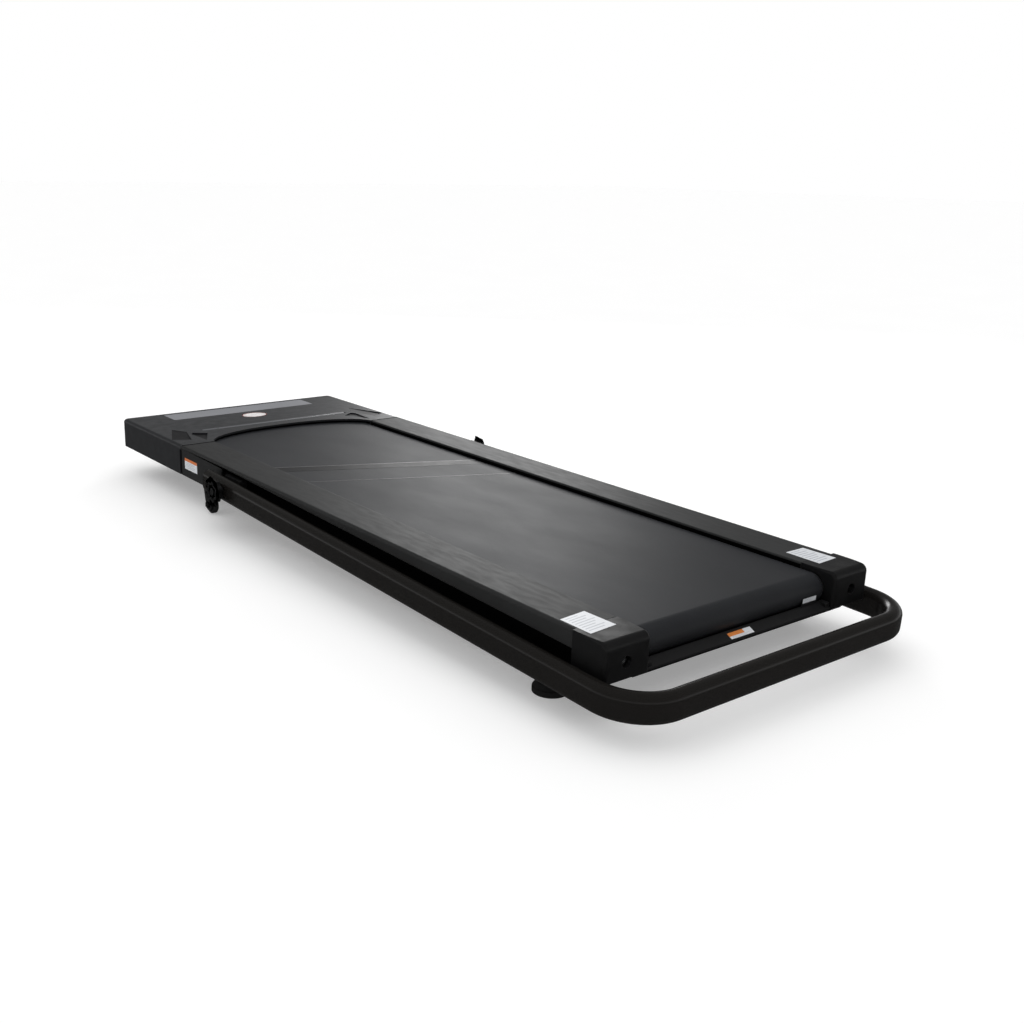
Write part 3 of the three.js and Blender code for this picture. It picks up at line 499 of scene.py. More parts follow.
class Recipe:
    """Builds one node material, node by node."""

    def __init__(self, name: str) -> None:
        """Starts a material with a Principled shader.

        Args:
            name: The material's name.
        """
        self.material = bpy.data.materials.new(name)
        self.material.use_nodes = True
        self.tree = self.material.node_tree
        self.shader = self.tree.nodes["Principled BSDF"]
        self.place = self.tree.nodes.new("ShaderNodeTexCoord").outputs["Object"]

    def link(self, source: bpy.types.NodeSocket, target: bpy.types.NodeSocket) -> None:
        """Links two sockets."""
        self.tree.links.new(source, target)

    def fix(self, **values: float | tuple[float, ...]) -> None:
        """Sets sockets of the shader, with spaces written as underscores.

        Args:
            **values: The sockets' values.
        """
        for key, value in values.items():
            self.shader.inputs[key.replace("_", " ")].default_value = value

    def own_map(self) -> bpy.types.NodeSocket:
        """Reads the piece's own UV map."""
        return self.tree.nodes.new("ShaderNodeTexCoord").outputs["UV"]

    def stretched(
        self, source: bpy.types.NodeSocket, scale: tuple[float, float, float]
    ) -> bpy.types.NodeSocket:
        """Scales coordinates.

        Args:
            source: The coordinates.
            scale: The scale on each axis.

        Returns:
            The scaled coordinates.
        """
        node = self.tree.nodes.new("ShaderNodeMapping")
        node.inputs["Scale"].default_value = scale
        self.link(source, node.inputs["Vector"])
        return node.outputs["Vector"]

    def noise(
        self, source: bpy.types.NodeSocket, scale: float, detail: float = 3.0
    ) -> bpy.types.NodeSocket:
        """Adds a noise pattern.

        Args:
            source: The coordinates.
            scale: Its features per metre.
            detail: Its octaves.

        Returns:
            The noise's value, about 0.5.
        """
        node = self.tree.nodes.new("ShaderNodeTexNoise")
        node.inputs["Scale"].default_value = scale
        node.inputs["Detail"].default_value = detail
        self.link(source, node.inputs["Vector"])
        return node.outputs["Fac"]

    def pebbles(self, source: bpy.types.NodeSocket, scale: float) -> bpy.types.NodeSocket:
        """Adds a pattern of small cells, as moulded grain has."""
        node = self.tree.nodes.new("ShaderNodeTexVoronoi")
        node.inputs["Scale"].default_value = scale
        self.link(source, node.inputs["Vector"])
        return node.outputs["Distance"]

    def math(
        self, kind: str, a: bpy.types.NodeSocket, b: bpy.types.NodeSocket | float
    ) -> bpy.types.NodeSocket:
        """Works out one sum.

        Args:
            kind: The operation's name.
            a: The first value.
            b: The second value.

        Returns:
            The result.
        """
        node = self.tree.nodes.new("ShaderNodeMath")
        node.operation = kind
        self.link(a, node.inputs[0])
        if isinstance(b, (int, float)):
            node.inputs[1].default_value = b
        else:
            self.link(b, node.inputs[1])
        return node.outputs[0]

    def spread(
        self,
        value: bpy.types.NodeSocket,
        low: tuple[float, float],
        high: tuple[float, float],
    ) -> bpy.types.NodeSocket:
        """Maps a value's range to another.

        Args:
            value: The value.
            low: The range that it has.
            high: The range that it gets.

        Returns:
            The mapped value.
        """
        node = self.tree.nodes.new("ShaderNodeMapRange")
        for name, number in zip(("From Min", "From Max"), low):
            node.inputs[name].default_value = number
        for name, number in zip(("To Min", "To Max"), high):
            node.inputs[name].default_value = number
        self.link(value, node.inputs["Value"])
        return node.outputs["Result"]

    def ramp(
        self,
        value: bpy.types.NodeSocket,
        stops: Sequence[tuple[float, tuple[float, float, float]]],
        stepped: bool = False,
    ) -> bpy.types.NodeSocket:
        """Maps a value to colours.

        Args:
            value: The value.
            stops: Places from 0 to 1 with their colours.
            stepped: True for hard borders.

        Returns:
            The colour.
        """
        node = self.tree.nodes.new("ShaderNodeValToRGB")
        band = node.color_ramp
        if stepped:
            band.interpolation = "CONSTANT"
        while len(band.elements) < len(stops):
            band.elements.new(1.0)
        for element, (place, colour) in zip(band.elements, stops):
            element.position = place
            element.color = (*colour, 1.0)
        self.link(value, node.inputs["Fac"])
        return node.outputs["Color"]

    def bump(self, height: bpy.types.NodeSocket, depth: float, strength: float) -> None:
        """Raises the surface by a pattern.

        Args:
            height: The pattern.
            depth: Its height in metres.
            strength: How much of it is felt.
        """
        node = self.tree.nodes.new("ShaderNodeBump")
        node.inputs["Strength"].default_value = strength
        node.inputs["Distance"].default_value = depth
        self.link(height, node.inputs["Height"])
        self.link(node.outputs["Normal"], self.shader.inputs["Normal"])


def shades(
    colour: tuple[float, float, float], spread: float
) -> list[tuple[float, tuple[float, float, float]]]:
    """Two stops either side of a colour, for a soft mottle.

    Args:
        colour: The colour.
        spread: How far the stops lie from it, as a share.

    Returns:
        The stops.
    """
    darker = tuple(c * (1 - spread) for c in colour)
    lighter = tuple(c * (1 + spread) for c in colour)
    return [(0.3, darker), (0.7, lighter)]


@dataclass(frozen=True)
class Finish:
    """A finish with grain, a soft mottle and handling marks."""

    name: str
    colour: tuple[float, float, float]
    roughness: float = 0.5
    ior: float = 1.5
    metallic: float = 0.0
    grain: float = 900.0  # cells per metre
    relief: float = 0.00006  # metres
    strength: float = 0.25
    mottle: float = 0.12
    streak: tuple[float, float, float] = (1.0, 1.0, 1.0)
    scuffs: float = 0.08
    coat: float = 0.0

    def make(self) -> bpy.types.Material:
        """Builds the material: mottled colour, marked roughness and moulded grain.

        Returns:
            The material.
        """
        recipe = Recipe(self.name)
        recipe.fix(Metallic=self.metallic, IOR=self.ior, Coat_Weight=self.coat)
        cloud = recipe.noise(recipe.place, MOTTLE_SCALE, 4.0)
        recipe.link(
            recipe.ramp(cloud, shades(self.colour, self.mottle)),
            recipe.shader.inputs["Base Color"],
        )
        stretched = recipe.stretched(recipe.place, self.streak)
        marks = recipe.noise(stretched, MARK_SCALE, 6.0)
        rough = (self.roughness - self.scuffs, self.roughness + self.scuffs)
        recipe.link(
            recipe.spread(marks, (0.35, 0.65), rough), recipe.shader.inputs["Roughness"]
        )
        fine = recipe.noise(recipe.place, self.grain * 2, 2.0)
        cells = recipe.pebbles(recipe.place, self.grain)
        recipe.bump(recipe.math("ADD", cells, fine), self.relief, self.strength)
        return recipe.material


@dataclass(frozen=True)
class Weave:
    """The walking belt's fine diamond weave, on the belt's own map in metres."""

    name: str
    colour: tuple[float, float, float]
    pitch: float = 2.6 * MM
    roughness: float = 0.5
    wear: float = 0.02
    ior: float = 1.34
    relief: float = 0.00008  # metres
    strength: float = 0.15

    def make(self) -> bpy.types.Material:
        """Builds the material: crossed waves for the weave, with dust and wear.

        Returns:
            The material.
        """
        recipe = Recipe(self.name)
        recipe.fix(IOR=self.ior)
        where = recipe.own_map()
        cut = recipe.tree.nodes.new("ShaderNodeSeparateXYZ")
        recipe.link(where, cut.inputs[0])
        turns = math.tau / self.pitch
        across = recipe.math("MULTIPLY", cut.outputs["X"], turns)
        along = recipe.math("MULTIPLY", cut.outputs["Y"], turns)
        one = recipe.math("SINE", recipe.math("ADD", across, along), 0.0)
        two = recipe.math("SINE", recipe.math("SUBTRACT", across, along), 0.0)
        diamonds = recipe.math("MULTIPLY", one, two)
        cloud = recipe.noise(recipe.stretched(where, (1.0, 0.35, 1.0)), 7.0, 4.0)
        dust = recipe.noise(where, 420.0, 3.0)
        mixed = recipe.math("ADD", recipe.math("MULTIPLY", dust, 0.45), cloud)
        woven = recipe.math("ADD", recipe.math("MULTIPLY", diamonds, 0.22), mixed)
        recipe.link(
            recipe.ramp(
                recipe.math("MULTIPLY", woven, 0.69), shades(self.colour, 0.3)
            ),
            recipe.shader.inputs["Base Color"],
        )
        worn = recipe.noise(recipe.stretched(where, (1.5, 0.6, 1.0)), 9.0, 5.0)
        rough = (self.roughness - self.wear, self.roughness + self.wear)
        recipe.link(
            recipe.spread(worn, (0.35, 0.65), rough), recipe.shader.inputs["Roughness"]
        )
        recipe.bump(recipe.math("ADD", diamonds, dust), self.relief, self.strength)
        return recipe.material


@dataclass(frozen=True)
class Sticker:
    """A plain label: pale paper with grey bars in rows, and a coloured band."""

    name: str
    paper: tuple[float, float, float] = (0.78, 0.8, 0.83)
    bars: tuple[float, float, float] = (0.36, 0.38, 0.42)
    band: tuple[float, float, float] = (0.78, 0.8, 0.83)
    band_from: float = 1.0
    band_to: float = 1.0
    rows: float = 9.0

    def make(self) -> bpy.types.Material:
        """Builds the material on the sticker's own map.

        Returns:
            The material.
        """
        recipe = Recipe(self.name)
        recipe.fix(IOR=1.45)
        where = recipe.own_map()
        cut = recipe.tree.nodes.new("ShaderNodeSeparateXYZ")
        recipe.link(where, cut.inputs[0])
        u, v = cut.outputs["X"], cut.outputs["Y"]
        line = recipe.math("FRACT", recipe.math("MULTIPLY", v, self.rows), 0.0)
        inked = recipe.math("LESS_THAN", line, 0.4)
        row = recipe.math("FLOOR", recipe.math("MULTIPLY", v, self.rows), 0.0)
        length = recipe.math("FRACT", recipe.math("MULTIPLY", row, 0.377), 0.0)
        within = recipe.math(
            "MULTIPLY",
            recipe.math("GREATER_THAN", u, 0.1),
            recipe.math("LESS_THAN", u, recipe.spread(length, (0, 1), (0.6, 0.93))),
        )
        inside = recipe.math(
            "MULTIPLY",
            recipe.math("GREATER_THAN", v, 0.08),
            recipe.math("LESS_THAN", v, min(0.92, self.band_from - 0.04)),
        )
        printed = recipe.math("MULTIPLY", inked, recipe.math("MULTIPLY", within, inside))
        faded = recipe.math("MULTIPLY", printed, recipe.noise(where, 60.0, 2.0))
        base = recipe.ramp(faded, [(0.0, self.paper), (0.9, self.bars)])
        mix = recipe.tree.nodes.new("ShaderNodeMix")
        mix.data_type = "RGBA"
        banded = recipe.math(
            "MULTIPLY",
            recipe.math("GREATER_THAN", v, self.band_from),
            recipe.math("LESS_THAN", u, self.band_to),
        )
        recipe.link(banded, mix.inputs["Factor"])
        recipe.link(base, mix.inputs["A"])
        mix.inputs["B"].default_value = (*self.band, 1.0)
        recipe.link(mix.outputs["Result"], recipe.shader.inputs["Base Color"])
        paper = recipe.noise(recipe.place, 700.0, 3.0)
        recipe.link(
            recipe.spread(paper, (0.3, 0.7), (0.3, 0.45)), recipe.shader.inputs["Roughness"]
        )
        recipe.bump(paper, 0.00002, 0.2)
        return recipe.material


class Coat(Enum):
    """The finishes of this treadmill."""

    HOOD = Finish(
        "hood_plastic", (0.02, 0.021, 0.0235), 0.38, 1.48, grain=1300, mottle=0.06,
        scuffs=0.04,
    )
    CAP = Finish("cap_plastic", (0.008, 0.008, 0.0084), 0.4, 1.4, grain=1100)
    RAIL = Finish(
        "rail_finish", (0.024, 0.0244, 0.0246), 0.5, 1.34, grain=1500, scuffs=0.03,
        streak=(3, 0.6, 3),
    )
    ACRYLIC = Finish(
        "smoked_acrylic", (0.25, 0.255, 0.275), 0.32, 1.5, grain=1500, relief=0.000001,
        strength=0.002, scuffs=0.02, mottle=0.04,
    )
    BADGE = Finish(
        "badge_face", (0.93, 0.9, 0.89), 0.3, 1.5, grain=2000, relief=0.00001,
        strength=0.1, mottle=0.03,
    )
    BADGE_RIM = Finish(
        "badge_rim", (0.36, 0.1, 0.085), 0.3, 1.5, 0.3, grain=2000, relief=0.00001,
    )
    CIRCUIT = Finish("board_green", (0.02, 0.1, 0.05), 0.4, 1.5, grain=500, coat=0.3)
    FRAME = Finish("frame_powder_coat", (0.012, 0.012, 0.0125), 0.4, 1.42, grain=1600)
    TUBE = Finish(
        "tube_powder_coat", (0.011, 0.01, 0.009), 0.24, 1.42, grain=2600,
        relief=0.000001, strength=0.002, scuffs=0.01, mottle=0.04,
    )
    RUBBER = Finish("rubber_finish", (0.009, 0.009, 0.009), 0.72, 1.4, grain=700)
    TYRE = Finish("tyre_rubber", (0.012, 0.012, 0.012), 0.65, 1.42, grain=800)
    WOOD = Finish(
        "deck_fibreboard", (0.26, 0.19, 0.11), 0.6, 1.45, grain=1800, mottle=0.22,
        streak=(6, 0.4, 1),
    )
    STEEL = Finish(
        "turned_steel", (0.5, 0.51, 0.52), 0.32, 1.5, 1.0,
        streak=(12, 1, 1), mottle=0.06,
    )
    ZINC = Finish(
        "zinc_plate", (0.62, 0.63, 0.64), 0.24, 1.5, 1.0, grain=700, mottle=0.07
    )
    MOTOR = Finish("motor_enamel", (0.02, 0.021, 0.022), 0.32)
    KNOB = Finish("knob_nylon", (0.006, 0.006, 0.0065), 0.36, 1.4, grain=1000)
    RED = Finish("red_finish", (0.4, 0.02, 0.015), 0.3, coat=0.3)
    MARK = Finish("marking_white", (0.75, 0.75, 0.75), mottle=0.04)
    SEAM = Finish(
        "belt_seam", (0.2, 0.195, 0.2), 0.34, 1.45, relief=0.00001, strength=0.05,
        mottle=0.3, scuffs=0.03,
    )
    # Near-black for the belt's lap; the same finish is laid on the hood's dart floors as painted
    # shade.
    LAP = Finish(
        "belt_lap", (0.006, 0.006, 0.0068), 0.46, 1.36, relief=0.00001, strength=0.05,
        mottle=0.05, scuffs=0.02,
    )
    # Near-black: painted shade on the sheets beside the belt and at the back of the side
    # recesses; also the dark joint line at the hood.
    VOID = Finish(
        "shadow_black", (0.0015, 0.0015, 0.0016), 0.75, 1.12, strength=0.05, scuffs=0.05
    )
    BLACKED = Finish("blacked_steel", (0.03, 0.03, 0.03), 0.34, metallic=1.0)
    # Pale grey for the strip in the hood's groove: a painted reflection of the light off its
    # sloped face.
    TRIM = Finish("hood_trim", (0.12, 0.123, 0.132), 0.34, 1.5, grain=1300, mottle=0.05)
    BELT = Weave("belt_finish", (0.021, 0.022, 0.0245))
    LABEL = Sticker("label_plain")
    BAND_LABEL = Sticker(
        "label_banded", band=(0.75, 0.24, 0.05), band_from=0.42, band_to=0.66, rows=7.0
    )
    TOP_BAND_LABEL = Sticker(
        "label_top_banded", band=(0.72, 0.2, 0.06), band_from=0.74, rows=7.0
    )

    def material(self) -> bpy.types.Material:
        """Gives the finish's material, built when it is first asked for."""
        found = bpy.data.materials.get(self.value.name)
        return found or self.value.make()


def place(
    piece: bpy.types.Object,
    coat: Coat,
    body: str = "root",
    slot: str | None = None,
    replaces: Sequence[str] = (),
) -> bpy.types.Object:
    """Dresses a finished piece and sets it on its body.

    Args:
        piece: The piece.
        coat: Its finish.
        body: The body that it rides on.
        slot: Not used.
        replaces: The frame nodes that it stands for.

    Returns:
        The piece.
    """
    put_down()
    if not piece.data.materials:
        piece.data.materials.append(coat.material())
    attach(piece, body)
    if replaces:
        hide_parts(*replaces)
    log.info("%s on %s: %d faces", piece.name, body, len(piece.data.polygons))
    return piece


# ------------------------------------------------------------------ hood


@dataclass
class Hood:
    """The motor hood with its window, badge, recesses, vents and controls."""

    skin: float = 3 * MM
    roof: float = 4 * MM
    upper_edge: float = 7 * MM
    front_corner: float = 12 * MM
    rear_corner: float = 3 * MM
    walkway: float = 380 * MM
    arch_depth: float = 69 * MM
    arch_fullness: float = 2.4
    arch_squareness: float = 0.6
    groove_front: float = 109 * MM  # hood's rear face to the groove's front
    groove_width: float = 11 * MM
    groove_depth: float = 2.6 * MM
    groove_ends: tuple[float, float] = (-168 * MM, 188 * MM)
    trim_inset: float = 2 * MM
    recess_depth: float = 3.2 * MM
    recess_shallowing: float = 2.4 * MM
    socket_offset: float = 18 * MM  # mains module's left edge to the socket's middle
    pins: tuple[tuple[float, float], ...] = ((-7, 0), (0, 3), (7, 0))  # millimetres
    vents: int = 9
    vent_start: float = 40 * MM
    vent_pitch: float = 14 * MM
    vent_height: float = 84 * MM
    darts: tuple[tuple[tuple[float, float], ...], ...] = (
        ((224, 35), (203, 104), (221, 139), (259, 54)),
        ((170, 74), (199, 17), (203, 82), (196, 92)),
    )
    low: Vector = field(default_factory=lambda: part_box("hood_cover")[0])
    high: Vector = field(default_factory=lambda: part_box("hood_cover")[1])

    def arch(self) -> list[tuple[float, float]]:
        """Outlines the arched opening over the belt's front end.

        Returns:
            The outline, seen from above.
        """
        half, rear, steps = self.walkway / 2, self.low.y, 40
        outline = [(-half, rear - 3 * MM)]
        for step in range(steps + 1):
            share = -math.cos(math.pi * step / steps)
            rise = (1 - abs(share) ** self.arch_fullness) ** self.arch_squareness
            outline.append((half * share, rear + 0.5 * MM + self.arch_depth * rise))
        return outline + [(half, rear - 3 * MM)]

    def blank(self) -> bpy.types.Object:
        """Shapes the outside of the hood.

        Returns:
            The rounded block.
        """
        low, high = self.low, self.high
        hood = block("hood_shell", low, high)
        choose(hood, Part.EDGES, lambda c, way: abs(way.z) > NEARLY and c.y > high.y - MM)
        bevel_chosen(self.front_corner, 8)
        choose(hood, Part.EDGES, lambda c, way: abs(way.z) > NEARLY and c.y < low.y + MM)
        bevel_chosen(self.rear_corner, 4)
        choose(
            hood,
            Part.EDGES,
            lambda c, way: c.z > high.z - MM and abs(way.z) < 0.1 and c.y > low.y + 0.5 * MM,
        )
        bevel_chosen(self.upper_edge, 6)
        return hood

    def cutters(self) -> list[bpy.types.Object]:
        """Makes the shapes that are cut out of the hood.

        Returns:
            The shapes.
        """
        low, high, skin = self.low, self.high, self.skin
        under = low.z - MM
        ceiling = high.z - self.roof
        half = self.walkway / 2
        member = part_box("side_member_right")
        cavity = block(
            "cavity",
            (low.x + skin, low.y + skin, under),
            (high.x - skin, high.y - skin, ceiling),
        )
        mouth = block(
            "mouth", (-half, low.y - MM, under), (half, low.y + 2 * skin, ceiling)
        )
        frame_way = block(
            "frame_way",
            (-member[1].x - MM, low.y - MM, under),
            (member[1].x + MM, low.y + 2 * skin, member[1].z + 5 * MM),
        )
        arch = prism("arch", self.arch(), Axis.Z, ceiling - MM, high.z + MM)
        tools = [cavity, mouth, frame_way, arch]
        window_low, window_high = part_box("display_window")
        middle = (0.0, (window_low.y + window_high.y) / 2)
        size = (window_high.x - window_low.x, window_high.y - window_low.y)
        seat = (size[0] + 0.8 * MM, size[1] + 0.8 * MM)
        hole = (size[0] - 8 * MM, size[1] - 8 * MM)
        tools.append(
            prism("window_seat", rounded(middle, seat, 3.4 * MM), Axis.Z,
                  window_low.z - 0.3 * MM, high.z + MM)
        )
        tools.append(
            prism("window_hole", rounded(middle, hole, 2 * MM), Axis.Z,
                  ceiling - MM, high.z)
        )
        badge_low, badge_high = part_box("badge_plate")
        centre = (0.0, (badge_low.y + badge_high.y) / 2)
        seat = (badge_high.x - badge_low.x + 0.8 * MM, badge_high.y - badge_low.y + 0.8 * MM)
        tools.append(
            prism("badge_seat", oval(centre, seat), Axis.Z, badge_low.z - 0.3 * MM,
                  high.z + MM)
        )
        return tools + self.groove() + self.chevrons() + self.front_openings()

    def groove(self) -> list[bpy.types.Object]:
        """Makes the long sloped groove in front of the arch."""
        low, high = self.low, self.high
        front = low.y + self.groove_front
        rear = front - self.groove_width
        floor = high.z - self.groove_depth
        outline = [(rear, high.z), (rear + 0.5 * MM, floor), (front, high.z),
                   (front, high.z + MM), (rear, high.z + MM)]
        return [prism("groove", outline, Axis.X, *self.groove_ends)]

    def build_sheen_trim(self) -> None:
        """Lays a pale strip in the groove, its colour a painted reflection of the light off the
        sloped face.
        """
        front = self.low.y + self.groove_front
        rear = front - self.groove_width
        top, floor = self.high.z, self.high.z - self.groove_depth
        outline = [(rear + MM, floor), (front - 0.3 * MM, top - 0.3 * MM),
                   (front - 0.3 * MM, top + 0.05 * MM), (rear + MM, floor + 0.4 * MM)]
        left, right = self.groove_ends
        trim = prism("hood_trim_strip", outline, Axis.X, left + self.trim_inset,
                     right - self.trim_inset)
        place(trim, Coat.TRIM, slot="hood_shell")

    def dart_prisms(self, stem: str, start: float, end: float) -> list[bpy.types.Object]:
        """Makes a prism over each dart's outline, with its floor rising at the front.

        Args:
            stem: The start of each prism's name.
            start: The prisms' lower level.
            end: Their upper level.

        Returns:
            The prisms.
        """
        low, top = self.low, self.high.z
        tools = []
        for side in Side:
            for index, shape in enumerate(self.darts):
                outline = [(side.value * x * MM, low.y + y * MM) for x, y in shape]
                tool = prism(f"{stem}_{side.word}_{index}", outline, Axis.Z, start, end)
                choose(tool, Part.POINTS, lambda c, way: c.z < top and c.y > low.y + 100 * MM)
                bpy.ops.transform.translate(value=(0, 0, self.recess_shallowing))
                put_down()
                tools.append(tool)
        return tools

    def chevrons(self) -> list[bpy.types.Object]:
        """Makes the two shallow darts in each rear corner."""
        top = self.high.z
        return self.dart_prisms("dart", top - self.recess_depth, top + MM)

    def build_dart_floors(self) -> None:
        """Lays a thin dark film on the floor of each dart, as painted shade in the recess."""
        level = self.high.z - self.recess_depth
        for film in self.dart_prisms("dart_shade_film", level + 0.05 * MM, level + 0.4 * MM):
            place(film, Coat.LAP, slot="hood_shell")

    def front_openings(self) -> list[bpy.types.Object]:
        """Makes the openings for the mains module and the breaker, and vent slots.

        Returns:
            The shapes.
        """
        front = self.high.y
        low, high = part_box("power_inlet")
        gap = 0.4 * MM
        depth = (front - 2 * self.skin, front + MM)
        module = block(
            "module_way",
            (low.x - gap, depth[0], low.z - gap),
            (high.x + gap, depth[1], high.z + gap),
        )
        low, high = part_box("breaker_housing")
        centre = (low + high) / 2
        hole = rod(
            "breaker_way",
            (centre.x, front, centre.z),
            (high.x - low.x) / 2 + gap,
            4 * self.skin,
            Axis.Y,
        )
        slots = []
        for step in range(self.vents):
            centre = (self.vent_start + self.vent_pitch * step, self.vent_height)
            outline = rounded(centre, (5 * MM, 30 * MM), 2.4 * MM, 3)
            slots.append(prism(f"slot_{step}", outline, Axis.Y, *depth))
        return [module, hole, joined("vent_slots", slots)]

    def build(self) -> None:
        """Builds the hood and everything set into it."""
        hood = combine(self.blank(), self.cutters())
        merge(hood)
        soften(hood, 0.7 * MM, 3, 32)
        place(hood, Coat.HOOD, slot="hood_shell", replaces=["hood_cover"])
        self.build_sheen_trim()
        self.build_dart_floors()
        self.build_window()
        self.build_badge()
        self.build_controls()

    def build_window(self) -> None:
        """Builds the display window's strip."""
        low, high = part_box("display_window")
        middle = (0.0, (low.y + high.y) / 2)
        size = (high.x - low.x, high.y - low.y)
        outline = rounded(middle, size, 3 * MM)
        strip = prism("window_strip", outline, Axis.Z, low.z, high.z)
        choose(strip, Part.FACES, lambda c, way: way.z > NEARLY)
        bpy.ops.mesh.inset(thickness=1.6 * MM, depth=-0.25 * MM)
        put_down()
        soften(strip, 0.2 * MM, 2)
        place(strip, Coat.ACRYLIC, slot="window_acrylic", replaces=["display_window"])

    def build_badge(self) -> None:
        """Builds the blank oval badge and its rim."""
        low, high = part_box("badge_plate")
        centre = (0.0, (low.y + high.y) / 2)
        size = (high.x - low.x, high.y - low.y)
        rim = prism("badge_rim", oval(centre, size, 64), Axis.Z, low.z, high.z)
        choose(rim, Part.FACES, lambda c, way: way.z > NEARLY)
        bpy.ops.mesh.inset(thickness=1.6 * MM, depth=0)
        bpy.ops.mesh.inset(thickness=0.5 * MM, depth=-0.35 * MM)
        put_down()
        soften(rim, 0.15 * MM, 2)
        place(rim, Coat.BADGE_RIM, slot="badge_metal")
        inner = (size[0] - 4.4 * MM, size[1] - 4.4 * MM)
        face = prism("badge_face", oval(centre, inner, 64), Axis.Z, low.z + 0.5 * MM,
                     high.z - 0.1 * MM)
        soften(face, 0.15 * MM, 2)
        place(face, Coat.BADGE, slot="badge_metal", replaces=["badge_plate"])

    def build_controls(self) -> None:
        """Builds the mains module, its pins, the rocker and the breaker."""
        module = from_frame("power_inlet", "mains_module")
        soften(module, 0.5 * MM, 2)
        place(module, Coat.CAP, slot="hood_shell", replaces=["power_inlet"])
        low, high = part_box("power_inlet")
        centre_x, centre_z = low.x + self.socket_offset, (low.z + high.z) / 2
        pins = []
        for x, z in self.pins:
            at = Vector((centre_x + x * MM, high.y - 13 * MM, centre_z + z * MM))
            half = Vector((1.25 * MM, 8 * MM, 2.25 * MM))
            pins.append(soften(block("pin", at - half, at + half), 0.4 * MM, 2))
        place(joined("mains_pins", pins), Coat.ZINC, slot="zinc_steel")
        rocker = soften(from_frame("rocker_switch", "rocker_cap"), 0.5 * MM, 3)
        place(rocker, Coat.RED, "rocker", "button_red", ["rocker_switch"])
        low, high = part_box("rocker_switch")
        x, z = (low.x + high.x) / 2, (low.z + high.z) / 2
        bar = block("on_bar", (x - 0.4 * MM, high.y - 1.9 * MM, z + 4.5 * MM),
                    (x + 0.4 * MM, high.y - 0.9 * MM, z + 8 * MM))
        place(soften(bar, 0.1 * MM, 1), Coat.MARK, "rocker")
        housing = soften(from_frame("breaker_housing", "breaker_collar"), 0.5 * MM, 2)
        place(housing, Coat.CAP, slot="hood_shell", replaces=["breaker_housing"])
        button = soften(from_frame("breaker_button", "breaker_cap"), 0.8 * MM, 4)
        place(button, Coat.RED, "breaker_button", "button_red", ["breaker_button"])


# ------------------------------------------------------------------ foot rails


